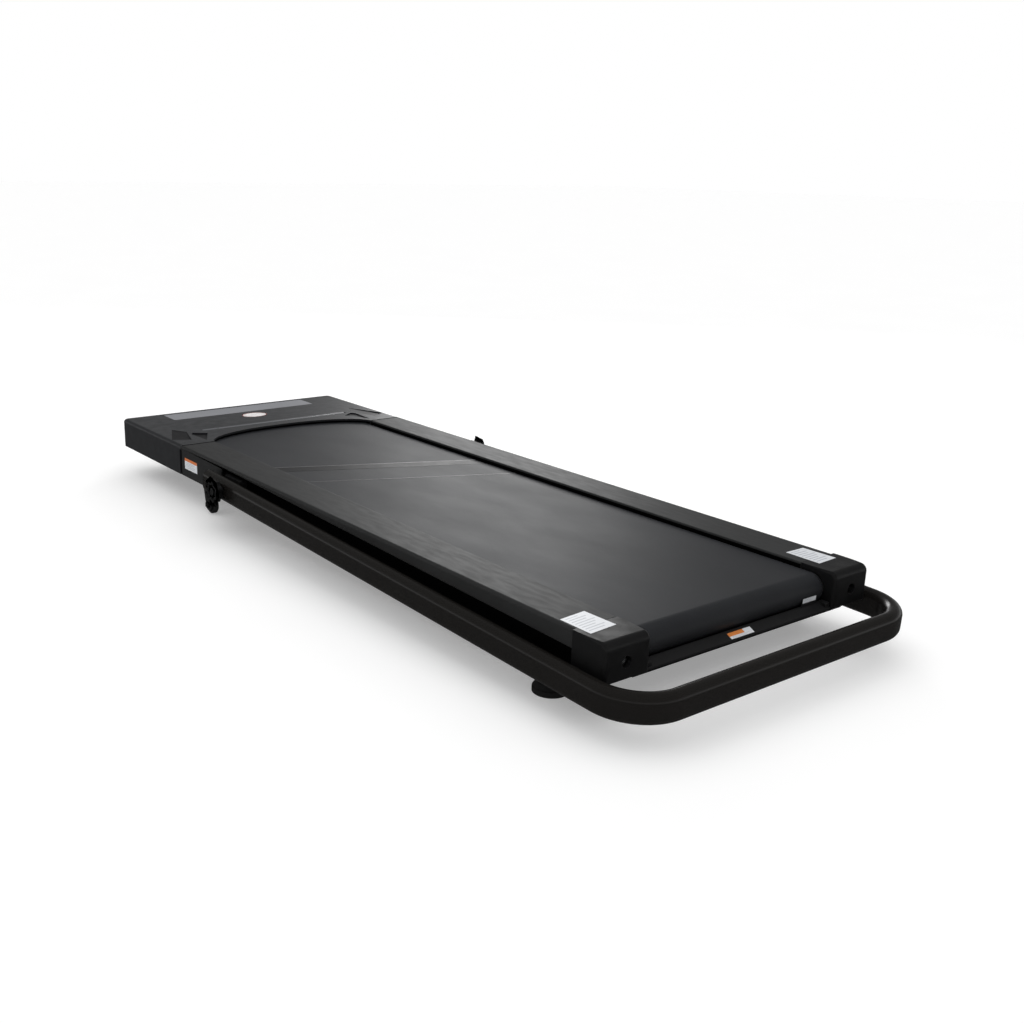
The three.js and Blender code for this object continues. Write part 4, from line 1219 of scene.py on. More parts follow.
@dataclass
class FootRail:
    """One foot rail with its end cap."""

    side: Side
    skin: float = 3 * MM
    roof: float = 4 * MM
    inner_edge: float = 3 * MM
    outer_edge: float = 5 * MM
    recess: float = 10 * MM
    recess_front: float = 311.2 * MM
    lip_front: float = 5.5 * MM  # the recess's upper edge below the top, at its front
    lip_slope: float = 0.0225
    cap_round: float = 11 * MM
    hole_radius: float = 8 * MM

    def across(self, x: float) -> float:
        """Puts a distance from the middle on this rail's side."""
        return self.side.value * x

    def build(self) -> None:
        """Builds the rail and its cap."""
        self.build_rail()
        self.build_cap()

    def lip(self, y: float) -> float:
        """Gives how far the side recess's upper edge lies below the rail's top."""
        return self.lip_front + (self.recess_front - y) * self.lip_slope

    def sizes(self) -> tuple[float, float, Vector, Vector]:
        """Gives the rail's inner and outer distance from the middle and its box."""
        low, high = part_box(f"foot_rail_{self.side.word}")
        edges = sorted((abs(low.x), abs(high.x)))
        return edges[0], edges[1], low, high

    def build_rail(self) -> None:
        """Builds the long moulding beside the belt."""
        inner, outer, low, high = self.sizes()
        top, floor = high.z, low.z
        belt_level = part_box("running_belt")[1].z
        under = top - self.roof
        wall = outer - self.recess - self.skin
        profile = [
            (inner, belt_level - 2 * MM), (inner, top), (outer, top), (outer, floor),
            (wall, floor), (wall, under), (inner + self.skin, under),
            (inner + self.skin, belt_level - 2 * MM),
        ]
        outline = [(self.across(x), z) for x, z in profile]
        rail = prism(f"rail_{self.side.word}", outline, Axis.Y, low.y, high.y)
        for x, width, segments in (
            (inner, self.inner_edge, 4), (outer, self.outer_edge, 5)
        ):
            choose(rail, Part.EDGES, lambda c, way: abs(way.y) > NEARLY
                   and c.z > top - MM and abs(abs(c.x) - x) < MM)
            bevel_chosen(width, segments)
        cavity = block(
            "cavity",
            Vector((min(self.across(outer - self.recess), self.across(outer - self.skin)),
                    low.y - MM, floor + self.skin)),
            Vector((max(self.across(outer - self.recess), self.across(outer - self.skin)),
                    high.y + MM, under)),
        )
        rear, front = low.y - MM, self.recess_front
        recess = prism(
            "recess",
            [(rear, top - self.lip(rear)), (front, top - self.lip(front)),
             (front, floor - MM), (rear, floor - MM)],
            Axis.X, self.across(outer - self.recess), self.across(outer + MM),
        )
        pivot_low, pivot_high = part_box(f"pivot_bracket_{self.side.word}")
        opening = block(
            "opening",
            pivot_low - Vector((12 * MM, 0.5 * MM, 1.5 * MM)),
            pivot_high + Vector((12 * MM, 0.5 * MM, 1.5 * MM)),
        )
        combine(rail, [cavity, recess, opening])
        merge(rail)
        soften(rail, 0.9 * MM, 3, 32)
        node = f"foot_rail_{self.side.word}"
        place(rail, Coat.RAIL, slot="rail_plastic", replaces=[node])
        self.build_painted_shade(inner, outer, low, high, belt_level)
        self.build_joint(inner, outer, high)

    def build_painted_shade(
        self, inner: float, outer: float, low: Vector, high: Vector, belt_level: float
    ) -> None:
        """Lays near-black film as painted shade on the wall beside the belt and the back of the
        side recess.

        Args:
            inner: The rail's inner distance from the middle.
            outer: Its outer distance from the middle.
            low: Its box's lowest corner.
            high: Its box's highest corner.
            belt_level: The belt's upper level.
        """
        # Near-black film on the rail's inner wall: painted shade where the wall beside the belt
        # falls in shadow.
        xs = sorted((self.across(inner - 0.35 * MM), self.across(inner + 0.05 * MM)))
        wall = block(f"belt_side_liner_{self.side.word}",
                     (xs[0], low.y + MM, belt_level - 2 * MM),
                     (xs[1], high.y - MM, high.z - 3.2 * MM))
        place(wall, Coat.VOID, slot="rail_plastic")
        # Near-black film at the back of the side recess: painted shade under the rail's lip.
        back = outer - self.recess
        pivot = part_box(f"pivot_bracket_{self.side.word}")[0].y
        rear, front = low.y + MM, min(self.recess_front - 2 * MM, pivot - MM)
        top, foot = high.z - MM, low.z + 0.4 * MM
        recess_shade = prism(
            f"recess_liner_{self.side.word}",
            [(rear, top - self.lip(rear)), (front, top - self.lip(front)),
             (front, foot), (rear, foot)],
            Axis.X, self.across(back - 0.05 * MM), self.across(back + 0.4 * MM),
        )
        place(recess_shade, Coat.VOID, slot="rail_plastic")

    def build_joint(self, inner: float, outer: float, high: Vector) -> None:
        """Marks the joint with the hood by a thin dark film across the rail's top.

        Args:
            inner: The rail's inner distance from the middle.
            outer: Its outer distance from the middle.
            high: Its box's highest corner.
        """
        ends = sorted((self.across(inner + 3 * MM), self.across(outer - 4 * MM)))
        joint = block(f"hood_joint_{self.side.word}",
                      (ends[0], high.y - 1.6 * MM, high.z - 0.1 * MM),
                      (ends[1], high.y, high.z + 0.15 * MM))
        place(joint, Coat.VOID, slot="rail_plastic")

    def build_cap(self) -> None:
        """Builds the end cap with its rounded rear edge and access hole."""
        word = self.side.word
        low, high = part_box(f"end_cap_{word}")
        edges = sorted((abs(low.x), abs(high.x)))
        cap = block(f"cap_{word}", low, high)
        choose(cap, Part.EDGES,
               lambda c, way: abs(way.x) > NEARLY and c.z > high.z - MM and c.y < low.y + MM)
        bevel_chosen(self.cap_round, 8)
        choose(cap, Part.EDGES, lambda c, way: c.y < low.y + 20 * MM and (
            abs(c.x) > edges[1] - 0.1 * MM or abs(c.x) < edges[0] + 0.1 * MM)
            and not (abs(way.y) > NEARLY and c.z < low.z + MM))
        bevel_chosen(4.5 * MM, 6)
        skin = self.skin
        xs = sorted((self.across(edges[0] + skin), self.across(edges[1] - skin)))
        inside = block("inside", (xs[0], low.y + 8 * MM, low.z - MM),
                       (xs[1], high.y + MM, high.z - self.roof))
        axle_low, axle_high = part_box("rear_axle")
        xs = sorted((self.across(edges[0] - MM), self.across(edges[0] + 2 * skin)))
        slot = block("slot", (xs[0], axle_low.y - 6 * MM, axle_low.z - 2 * MM),
                     (xs[1], high.y + MM, axle_high.z + 2 * MM))
        bolt_low, bolt_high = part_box(f"tension_bolt_{word}")
        centre = (bolt_low + bolt_high) / 2
        hole = rod("hole", (centre.x, low.y, centre.z), self.hole_radius, 24 * MM, Axis.Y)
        combine(cap, [inside, slot, hole])
        merge(cap)
        soften(cap, 0.8 * MM, 3, 32)
        place(cap, Coat.CAP, slot="cap_shell", replaces=[f"end_cap_{word}"])
        self.build_bolt(centre, bolt_low, bolt_high)

    def build_bolt(self, centre: Vector, low: Vector, high: Vector) -> None:
        """Builds the belt-tension bolt with its socket head.

        Args:
            centre: The bolt's middle.
            low: Its box's lowest corner.
            high: Its box's highest corner.
        """
        word = self.side.word
        head_length = 5.3 * MM
        head = rod("head", (centre.x, low.y + head_length / 2, centre.z), 6.4 * MM,
                   head_length, Axis.Y)
        socket = rod("socket", (centre.x, low.y, centre.z), 3.2 * MM, 6 * MM, Axis.Y, 6)
        combine(head, [socket])
        soften(head, 0.4 * MM, 2)
        shank = rod("shank", (centre.x, (low.y + high.y) / 2 + MM, centre.z), 3.9 * MM,
                    high.y - low.y - 2 * MM, Axis.Y, 24)
        choose(shank, Part.EDGES, lambda c, way: abs(way.y) > NEARLY)
        bpy.ops.mesh.subdivide(number_cuts=24)
        put_down()
        for turn in range(0, 24, 2):
            y = low.y + 2 * MM + (high.y - low.y - 2 * MM) * (turn + 0.5) / 25
            if choose(shank, Part.POINTS, lambda c, way: abs(c.y - y) < 0.5 * MM):
                bpy.ops.transform.resize(
                    value=(0.86, 1, 0.86), center_override=(centre.x, y, centre.z)
                )
        put_down()
        shade(shank)
        bolt = joined(f"bolt_{word}", [head, shank])
        place(bolt, Coat.ZINC, slot="zinc_steel", replaces=[f"tension_bolt_{word}"])


# ------------------------------------------------------------------ walking belt


@dataclass
class WalkingBelt:
    """The endless belt with its bias-cut splice lines."""

    thickness: float = 1.7 * MM
    splice_angle: float = 23.0
    splice_places: tuple[float, float] = (187 * MM, 66 * MM)
    lap: float = 34 * MM
    sides: int = 64

    def build(self) -> None:
        """Builds the belt and its splice."""
        low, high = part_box("running_belt")
        radius = (high.z - low.z) / 2
        height = (high.z + low.z) / 2
        rear, front = low.y + radius, high.y - radius
        belt = self.loop(low, high, radius, rear, front, height)
        self.map_length(belt, rear, front, height, radius)
        modifier = belt.modifiers.new("Wall", "SOLIDIFY")
        modifier.thickness = self.thickness
        modifier.offset = -1
        apply_modifier(belt, modifier)
        shade(belt, 30)
        place(belt, Coat.BELT, slot="belt_weave", replaces=["running_belt"])
        self.build_splice(high)

    def loop(
        self, low: Vector, high: Vector, radius: float, rear: float, front: float,
        height: float,
    ) -> bpy.types.Object:
        """Shapes the bare loop: a round band, half of it drawn out to the front.

        Args:
            low: The belt's lowest corner.
            high: Its highest corner.
            radius: Its radius round a roller.
            rear: The rear roller's place.
            front: The front roller's place.
            height: The rollers' height.

        Returns:
            The loop.
        """
        put_down()
        bpy.ops.mesh.primitive_cylinder_add(
            vertices=self.sides, radius=radius, depth=high.x - low.x,
            end_fill_type="NOTHING", location=(0, rear, height), rotation=Axis.X.turn,
        )
        belt = settle("belt_loop")
        choose(belt, Part.POINTS, lambda c, way: c.y > rear + 1e-5)
        bpy.ops.transform.translate(value=(0, front - rear, 0))
        put_down()
        middle = (rear + front) / 2
        choose(belt, Part.EDGES,
               lambda c, way: abs(way.y) > NEARLY and abs(c.y - middle) < radius * 2)
        bpy.ops.mesh.subdivide(number_cuts=24)
        put_down()
        choose(belt, Part.EDGES, lambda c, way: abs(way.x) > NEARLY)
        bpy.ops.mesh.subdivide(number_cuts=9)
        put_down()
        return belt

    def map_length(
        self, belt: bpy.types.Object, rear: float, front: float, height: float,
        radius: float,
    ) -> None:
        """Gives the belt a map in metres: across it, and along its length.

        Args:
            belt: The loop.
            rear: The rear roller's place.
            front: The front roller's place.
            height: The rollers' height.
            radius: The belt's radius round a roller.
        """
        layer = belt.data.uv_layers.active or belt.data.uv_layers.new(name="length")
        span = front - rear
        arc = math.pi * radius

        def along(point: Vector) -> float:
            """Finds a point's place along the loop.

            Args:
                point: The point.

            Returns:
                Its distance from the rear roller's top, in metres.
            """
            if point.y < rear:
                turn = math.atan2(rear - point.y, point.z - height)
                return -turn * radius
            if point.y > front:
                turn = math.atan2(point.y - front, point.z - height)
                return span + turn * radius
            if point.z > height:
                return point.y - rear
            return span + arc + (front - point.y)

        for face in belt.data.polygons:
            corners = [belt.data.vertices[v].co for v in face.vertices]
            values = [along(c) for c in corners]
            length = 2 * span + 2 * arc
            if max(values) - min(values) > length / 2:
                values = [v + length if v < length / 2 else v for v in values]
            for loop, corner, value in zip(face.loop_indices, corners, values):
                layer.data[loop].uv = (corner.x, value)

    def build_splice(self, high: Vector) -> None:
        """Lays the splice's two thin ridges and its lap across the belt.

        Args:
            high: The belt's highest corner.
        """
        slope = math.tan(math.radians(self.splice_angle))
        half = high.x - MM
        first, second = self.splice_places
        lines = [("splice_1", first, 1.8 * MM, 0.2 * MM, Coat.SEAM),
                 ("lap", first - self.lap, self.lap, 0.1 * MM, Coat.LAP),
                 ("splice_2", second, 1.4 * MM, 0.2 * MM, Coat.SEAM)]
        for name, middle, width, rise, coat in lines:
            ends = [(-half, middle + half * slope), (half, middle - half * slope)]
            outline = [ends[0], ends[1], (ends[1][0], ends[1][1] + width),
                       (ends[0][0], ends[0][1] + width)]
            strip = prism(f"belt_{name}", outline, Axis.Z, high.z - 0.2 * MM, high.z + rise)
            place(strip, coat, slot="belt_weave")


# ------------------------------------------------------------------ handrail


@dataclass
class Handrail:
    """The U-shaped handrail, its leg plugs, bushes and clamp knobs."""

    height: float = 42 * MM
    leg_end: float = 69 * MM  # the legs' reach past the pivot
    corner: float = 69 * MM
    wall: float = 2 * MM
    bend_steps: int = 20
    knob_radius: float = 20 * MM
    knob_thickness: float = 14 * MM
    lobes: int = 7
    lobe_depth: float = 1.8 * MM

    def __post_init__(self) -> None:
        """Reads the pivot, the slope and the section from the frame."""
        bush_low, bush_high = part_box("pivot_bush_right")
        self.pivot = (bush_low + bush_high) / 2
        self.pivot.x = 0
        fold = next(j for j in frame["joints"] if j["name"] == "handrail_fold")
        self.slope = math.radians(fold["range_deg"][1] - 90)
        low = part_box("handrail_tube")[0]
        plug_low, plug_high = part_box("leg_end_plug_right")
        self.leg_x = (plug_low.x + plug_high.x) / 2
        self.width = plug_high.x - plug_low.x
        reach = self.pivot.y - low.y
        droop = (self.height - self.width) / 2 * math.sin(self.slope)
        self.bar = (reach - droop - self.width / 2) / math.cos(self.slope)

    def build(self) -> None:
        """Builds the tube and everything on it."""
        self.build_tube()
        for side in Side:
            self.build_plug(side)
            self.build_knob(side)

    def build_tube(self) -> None:
        """Draws a flat oval section round the U."""
        pivot, leg, corner = self.pivot, self.leg_x, self.corner
        put_down()
        bpy.ops.mesh.primitive_circle_add(
            vertices=48, radius=self.width / 2, rotation=Axis.Y.turn,
            location=(-leg, pivot.y + self.leg_end, pivot.z),
        )
        tube = settle("handrail_loop")
        flank = (self.height - self.width) / 2
        for sign in (1, -1):
            choose(tube, Part.POINTS, lambda c, way: sign * (c.z - pivot.z) > 1e-5)
            bpy.ops.transform.translate(value=(0, 0, sign * flank))
            put_down()
        choose(tube, Part.EDGES, lambda c, way: True)
        bar_y = pivot.y - self.bar
        bend_y = bar_y + corner
        down = {"value": (0, bend_y - (pivot.y + self.leg_end), 0)}
        bpy.ops.mesh.extrude_region_move(TRANSFORM_OT_translate=down)
        self.spin(-leg + corner, bend_y)
        bpy.ops.mesh.extrude_region_move(
            TRANSFORM_OT_translate={"value": (2 * (leg - corner), 0, 0)}
        )
        self.spin(leg - corner, bend_y)
        up = {"value": (0, pivot.y + self.leg_end - bend_y, 0)}
        bpy.ops.mesh.extrude_region_move(TRANSFORM_OT_translate=up)
        bpy.ops.mesh.select_all(action="SELECT")
        bpy.ops.mesh.remove_doubles(threshold=1e-6)
        bpy.ops.mesh.normals_make_consistent(inside=False)
        put_down()
        modifier = tube.modifiers.new("Wall", "SOLIDIFY")
        modifier.thickness = self.wall
        modifier.offset = -1
        apply_modifier(tube, modifier)
        self.lean(tube)
        shade(tube, 30)
        place(tube, Coat.TUBE, "handrail", "tube_paint", ["handrail_tube"])

    def spin(self, x: float, y: float) -> None:
        """Bends the open end a quarter turn.

        Args:
            x: The bend's centre across.
            y: The bend's centre along.
        """
        bpy.ops.mesh.spin(
            steps=self.bend_steps, angle=-RIGHT_ANGLE, center=(x, y, self.pivot.z),
            axis=(0, 0, 1), use_auto_merge=False,
        )

    def lean(self, piece: bpy.types.Object) -> None:
        """Turns a piece about the pivot by the folded handrail's slope.

        Args:
            piece: The piece.
        """
        turn = Matrix.Rotation(self.slope, 4, "X")
        about = Matrix.Translation(self.pivot)
        piece.matrix_world = about @ turn @ about.inverted()
        take(piece)
        bpy.ops.object.transform_apply(location=True, rotation=True, scale=True)

    def build_plug(self, side: Side) -> None:
        """Builds a leg's end plug.

        Args:
            side: Which leg.
        """
        node = f"leg_end_plug_{side.word}"
        plug = soften(from_frame(node, f"leg_plug_{side.word}"), 0.8 * MM, 3)
        place(plug, Coat.CAP, "handrail", "cap_shell", [node])

    def build_knob(self, side: Side) -> None:
        """Builds a lobed clamp knob with its stud.

        Args:
            side: Which knob.
        """
        node = f"clamp_knob_{side.word}"
        low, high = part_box(node)
        y, z = self.pivot.y, self.pivot.z
        out = max(abs(low.x), abs(high.x)) * side.value
        face = out - side.value * self.knob_thickness
        steps = self.lobes * 14
        outline = []
        for step in range(steps):
            t = math.tau * step / steps
            wave = math.cos(self.lobes * t)
            r = self.knob_radius - self.lobe_depth * (1 - math.copysign(abs(wave) ** 0.6, wave))
            outline.append((y + r * math.cos(t), z + r * math.sin(t)))
        knob = prism(f"knob_{side.word}_grip", outline, Axis.X, face, out)
        choose(knob, Part.FACES, lambda c, way: way.x * side.value > NEARLY)
        bpy.ops.mesh.inset(thickness=3.2 * MM, depth=0)
        bpy.ops.mesh.inset(thickness=1.2 * MM, depth=-1.2 * MM)
        bpy.ops.mesh.inset(thickness=4 * MM, depth=0)
        put_down()
        soften(knob, 0.9 * MM, 4, 28)
        place(knob, Coat.KNOB, f"knob_{side.word}", "knob_plastic", [node])
        inner = min(abs(low.x), abs(high.x)) * side.value
        stud = rod(f"knob_{side.word}_stud", ((inner + face) / 2, y, z), 5 * MM,
                   abs(face - inner) + 4 * MM, Axis.X, 32)
        soften(stud, 0.6 * MM, 2)
        place(stud, Coat.ZINC, f"knob_{side.word}", "zinc_steel")
        collar_in = side.value * (self.leg_x + self.width / 2 + 0.3 * MM)
        collar = rod(f"knob_{side.word}_collar", ((collar_in + face) / 2, y, z), 10 * MM,
                     abs(face - collar_in) + MM, Axis.X, 40)
        soften(collar, 0.5 * MM, 2)
        place(collar, Coat.KNOB, f"knob_{side.word}", "knob_plastic")
        boss = rod(f"knob_{side.word}_boss", (out - side.value * 1.4 * MM, y, z), 7 * MM,
                   2.4 * MM, Axis.X, 40)
        soften(boss, 0.8 * MM, 3)
        place(boss, Coat.CAP, f"knob_{side.word}")


# ------------------------------------------------------------------ running gear


@dataclass
class RunningGear:
    """The transport wheels, their brackets and axles, and the rear feet."""

    hub_radius: float = 8 * MM
    foot_base: float = 8 * MM
    foot_rings: tuple[tuple[float, float], ...] = (
        (0.94, 0.8 * MM), (0.85, 7.5 * MM), (0.8, 0.2 * MM)  # shrink, rise
    )

    def build(self) -> None:
        """Builds both sides."""
        for side in Side:
            self.build_wheel(side)
            self.build_bracket(side)
            self.build_foot(side)

    def build_wheel(self, side: Side) -> None:
        """Builds a wheel's tyre and hub.

        Args:
            side: Which wheel.
        """
        node = f"transport_wheel_{side.word}"
        low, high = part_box(node)
        centre, radius = (low + high) / 2, (high.z - low.z) / 2
        width = high.x - low.x
        tyre = rod(f"tyre_{side.word}", centre, radius, width, Axis.X, 72)
        choose(tyre, Part.EDGES, lambda c, way: abs(way.x) < 0.1)
        bevel_chosen(1.8 * MM, 4)
        choose(tyre, Part.FACES, lambda c, way: abs(way.x) > 0.999)
        bpy.ops.mesh.inset(thickness=3.2 * MM, depth=0)
        bpy.ops.mesh.inset(thickness=0.6 * MM, depth=-1.1 * MM)
        put_down()
        shade(tyre)
        place(tyre, Coat.TYRE, f"wheel_{side.word}", "wheel_tyre", [node])
        hub = rod(f"hub_{side.word}", centre, self.hub_radius, width - 0.4 * MM, Axis.X, 40)
        choose(hub, Part.FACES, lambda c, way: abs(way.x) > 0.999)
        bpy.ops.mesh.inset(thickness=2.4 * MM, depth=-0.7 * MM)
        put_down()
        soften(hub, 0.4 * MM, 2)
        place(hub, Coat.KNOB, f"wheel_{side.word}", "wheel_tyre")

    def build_bracket(self, side: Side) -> None:
        """Builds a wheel's bracket and its axle bolt.

        Args:
            side: Which wheel.
        """
        word = side.word
        bracket = soften(from_frame(f"wheel_bracket_{word}", f"wheel_plate_{word}"),
                         0.6 * MM, 2)
        place(bracket, Coat.FRAME, slot="frame_paint", replaces=[f"wheel_bracket_{word}"])
        axle = soften(from_frame(f"wheel_axle_{word}", f"wheel_bolt_{word}"), 0.4 * MM, 2)
        place(axle, Coat.BLACKED, slot="zinc_steel", replaces=[f"wheel_axle_{word}"])

    def build_foot(self, side: Side) -> None:
        """Builds a rear foot, stepped in towards its neck.

        Args:
            side: Which foot.
        """
        node = f"rear_foot_{side.word}"
        low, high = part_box(node)
        centre, radius = (low + high) / 2, (high.x - low.x) / 2
        base = self.foot_base
        foot = rod(f"foot_{side.word}", (centre.x, centre.y, base / 2), radius, base,
                   Axis.Z, 64)
        choose(foot, Part.FACES, lambda c, way: way.z > NEARLY)
        level = base
        for shrink, rise in self.foot_rings:
            bpy.ops.mesh.extrude_region_move(
                TRANSFORM_OT_translate={"value": (0, 0, rise)}
            )
            bpy.ops.transform.resize(value=(shrink, shrink, 1),
                                     center_override=(centre.x, centre.y, 0))
            level += rise
        neck = {"value": (0, 0, high.z - level)}
        bpy.ops.mesh.extrude_region_move(TRANSFORM_OT_translate=neck)
        put_down()
        choose(foot, Part.FACES, lambda c, way: way.z < -NEARLY)
        bpy.ops.mesh.inset(thickness=3 * MM, depth=0)
        bpy.ops.mesh.inset(thickness=MM, depth=-1.5 * MM)
        put_down()
        soften(foot, 0.7 * MM, 3, 25)
        place(foot, Coat.RUBBER, slot="foot_rubber", replaces=[node])


# ------------------------------------------------------------------ frame


# The rear guard's sloping face, from the rear bar's rear face and the caps' underside.
GUARD_LIP = 1.8 * MM
GUARD_REACH = 15 * MM
GUARD_RISE = 9.6 * MM
# The tag plate that stands on the guard, from the same two faces.
TAG_SPAN = (138 * MM, 172 * MM)
TAG_LEVELS = (7 * MM, 21 * MM)
TAG_BACK = 12.9 * MM


@dataclass
class Chassis:
    """The steel frame, the rear bar, the deck, the motor pan and its screws."""

    plate: float = 3 * MM
    clip_width: float = 9.8 * MM
    vent_rows: int = 2
    vents: int = 10
    vent_pitch: float = 22 * MM
    vent_size: tuple[float, float] = (6 * MM, 44 * MM)
    screw_inset: float = 12 * MM
    screw_x: float = 80 * MM

    def build(self) -> None:
        """Builds every frame piece that can be seen."""
        self.build_strip()
        for side in Side:
            self.softened(f"side_member_{side.word}", Coat.FRAME, "frame_paint", 1.6)
            self.softened(f"pivot_bracket_{side.word}", Coat.FRAME, "frame_paint", 1.2)
        for name in ("rear", "middle", "front"):
            self.softened(f"deck_beam_{name}", Coat.FRAME, "frame_paint", 1.2)
            self.softened(f"deck_cushion_{name}", Coat.RUBBER, "foot_rubber", 0.8)
        self.softened("front_cross_member", Coat.FRAME, "frame_paint", 1.2)
        self.softened("deck_board", Coat.WOOD, "deck_wood", 1.0)
        low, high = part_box("deck_board")
        film = block("deck_film", (low.x, low.y, high.z), (high.x, high.y, high.z + 0.2 * MM))
        place(soften(film, 0.08 * MM, 1), Coat.CAP, slot="deck_wood")
        self.build_pan()

    def softened(self, node: str, coat: Coat, slot: str, width: float) -> None:
        """Rounds the edges of a frame node in a piece that stands for it.

        Args:
            node: The node.
            coat: The piece's finish.
            slot: The node's material slot.
            width: The rounding, in millimetres.
        """
        piece = soften(from_frame(node, f"{node}_body"), width * MM, 2)
        place(piece, coat, slot=slot, replaces=[node])

    def build_strip(self) -> None:
        """Builds the flat bar across the rear, its sloping guard, tag and end clips."""
        low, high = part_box("rear_cross_member")
        cap_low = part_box("end_cap_left")[0].z
        plate = self.plate
        channel = block("rear_bar", low, (high.x, high.y, cap_low - 0.3 * MM))
        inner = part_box("end_cap_right")[0].x - 0.6 * MM
        guard = prism(
            "rear_guard",
            [(low.y, low.z), (low.y + plate, low.z),
             (low.y + plate, cap_low), (low.y + 16.5 * MM, cap_low + 7 * MM),
             (low.y + GUARD_REACH, cap_low + GUARD_RISE), (low.y, cap_low + GUARD_LIP)],
            Axis.X, -inner, inner,
        )
        soften(channel, 0.8 * MM, 3)
        soften(guard, 0.8 * MM, 3)
        place(channel, Coat.FRAME, slot="frame_paint", replaces=["rear_cross_member"])
        place(guard, Coat.FRAME, slot="frame_paint")
        self.build_tag(low, cap_low)
        for side in Side:
            outer = inner - 0.2 * MM
            x = sorted((side.value * outer, side.value * (outer - self.clip_width)))
            clip = block(f"strip_clip_{side.word}",
                         (x[0], low.y + 2 * MM, cap_low + 3 * MM),
                         (x[1], low.y + 16 * MM, cap_low + 10.5 * MM))
            choose(clip, Part.EDGES, lambda c, way: c.z > cap_low + 10 * MM)
            bevel_chosen(3 * MM, 5)
            soften(clip, 0.5 * MM, 2)
            place(clip, Coat.FRAME, slot="frame_paint")

    def build_tag(self, low: Vector, cap_low: float) -> None:
        """Stands a small tag plate on the guard's upper edge.

        Args:
            low: The rear bar's lowest corner.
            cap_low: The end caps' lower level.
        """
        back = low.y + TAG_BACK
        tag = block("guard_tag", (TAG_SPAN[0], back, cap_low + TAG_LEVELS[0]),
                    (TAG_SPAN[1], back + 0.7 * MM, cap_low + TAG_LEVELS[1]))
        place(soften(tag, 0.2 * MM, 2), Coat.FRAME, slot="frame_paint")

    def build_pan(self) -> None:
        """Builds the motor pan with its vents and screws."""
        low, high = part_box("motor_pan")
        pan = block("pan_sheet", low, high)
        slots = []
        for row in range(self.vent_rows):
            for step in range(self.vents):
                x = self.vent_pitch * (step - (self.vents - 1) / 2)
                y = high.y - (70 + 90 * row) * MM
                outline = rounded((x, y), self.vent_size, 2.9 * MM, 3)
                slots.append(prism(f"pan_slot_{row}_{step}", outline, Axis.Z,
                                   low.z - MM, high.z + MM))
        combine(pan, [joined("pan_slots", slots)])
        merge(pan)
        soften(pan, 0.7 * MM, 2)
        place(pan, Coat.CAP, slot="hood_shell", replaces=["motor_pan"])
        self.build_screws(low, high)

    def build_screws(self, low: Vector, high: Vector) -> None:
        """Sets pan-head screws round the motor pan.

        Args:
            low: The pan's lowest corner.
            high: Its highest corner.
        """
        head = rod("pan_screw", (0, 0, low.z - 0.9 * MM), 4 * MM, 1.8 * MM, Axis.Z, 24)
        choose(head, Part.EDGES, lambda c, way: c.z < low.z - MM and abs(way.z) < 0.1)
        bevel_chosen(1.1 * MM, 4)
        for angle in (0, 1):
            size = (3.8, 0.9) if angle else (0.9, 3.8)
            half = Vector((size[0] / 2 * MM, size[1] / 2 * MM, 0.9 * MM))
            centre = Vector((0, 0, low.z - 1.9 * MM))
            combine(head, [block("cross", centre - half, centre + half)])
        shade(head)
        inset = self.screw_inset
        columns = (low.x + inset, -self.screw_x, self.screw_x, high.x - inset)
        places = [(x, y) for x in columns for y in (low.y + inset, high.y - inset)]
        heads = [
            copied(head, f"screw_{i}", Vector((x, y, 0))) for i, (x, y) in enumerate(places)
        ]
        bpy.data.objects.remove(head)
        place(joined("pan_screws", heads), Coat.ZINC, slot="zinc_steel")


# ------------------------------------------------------------------ labels


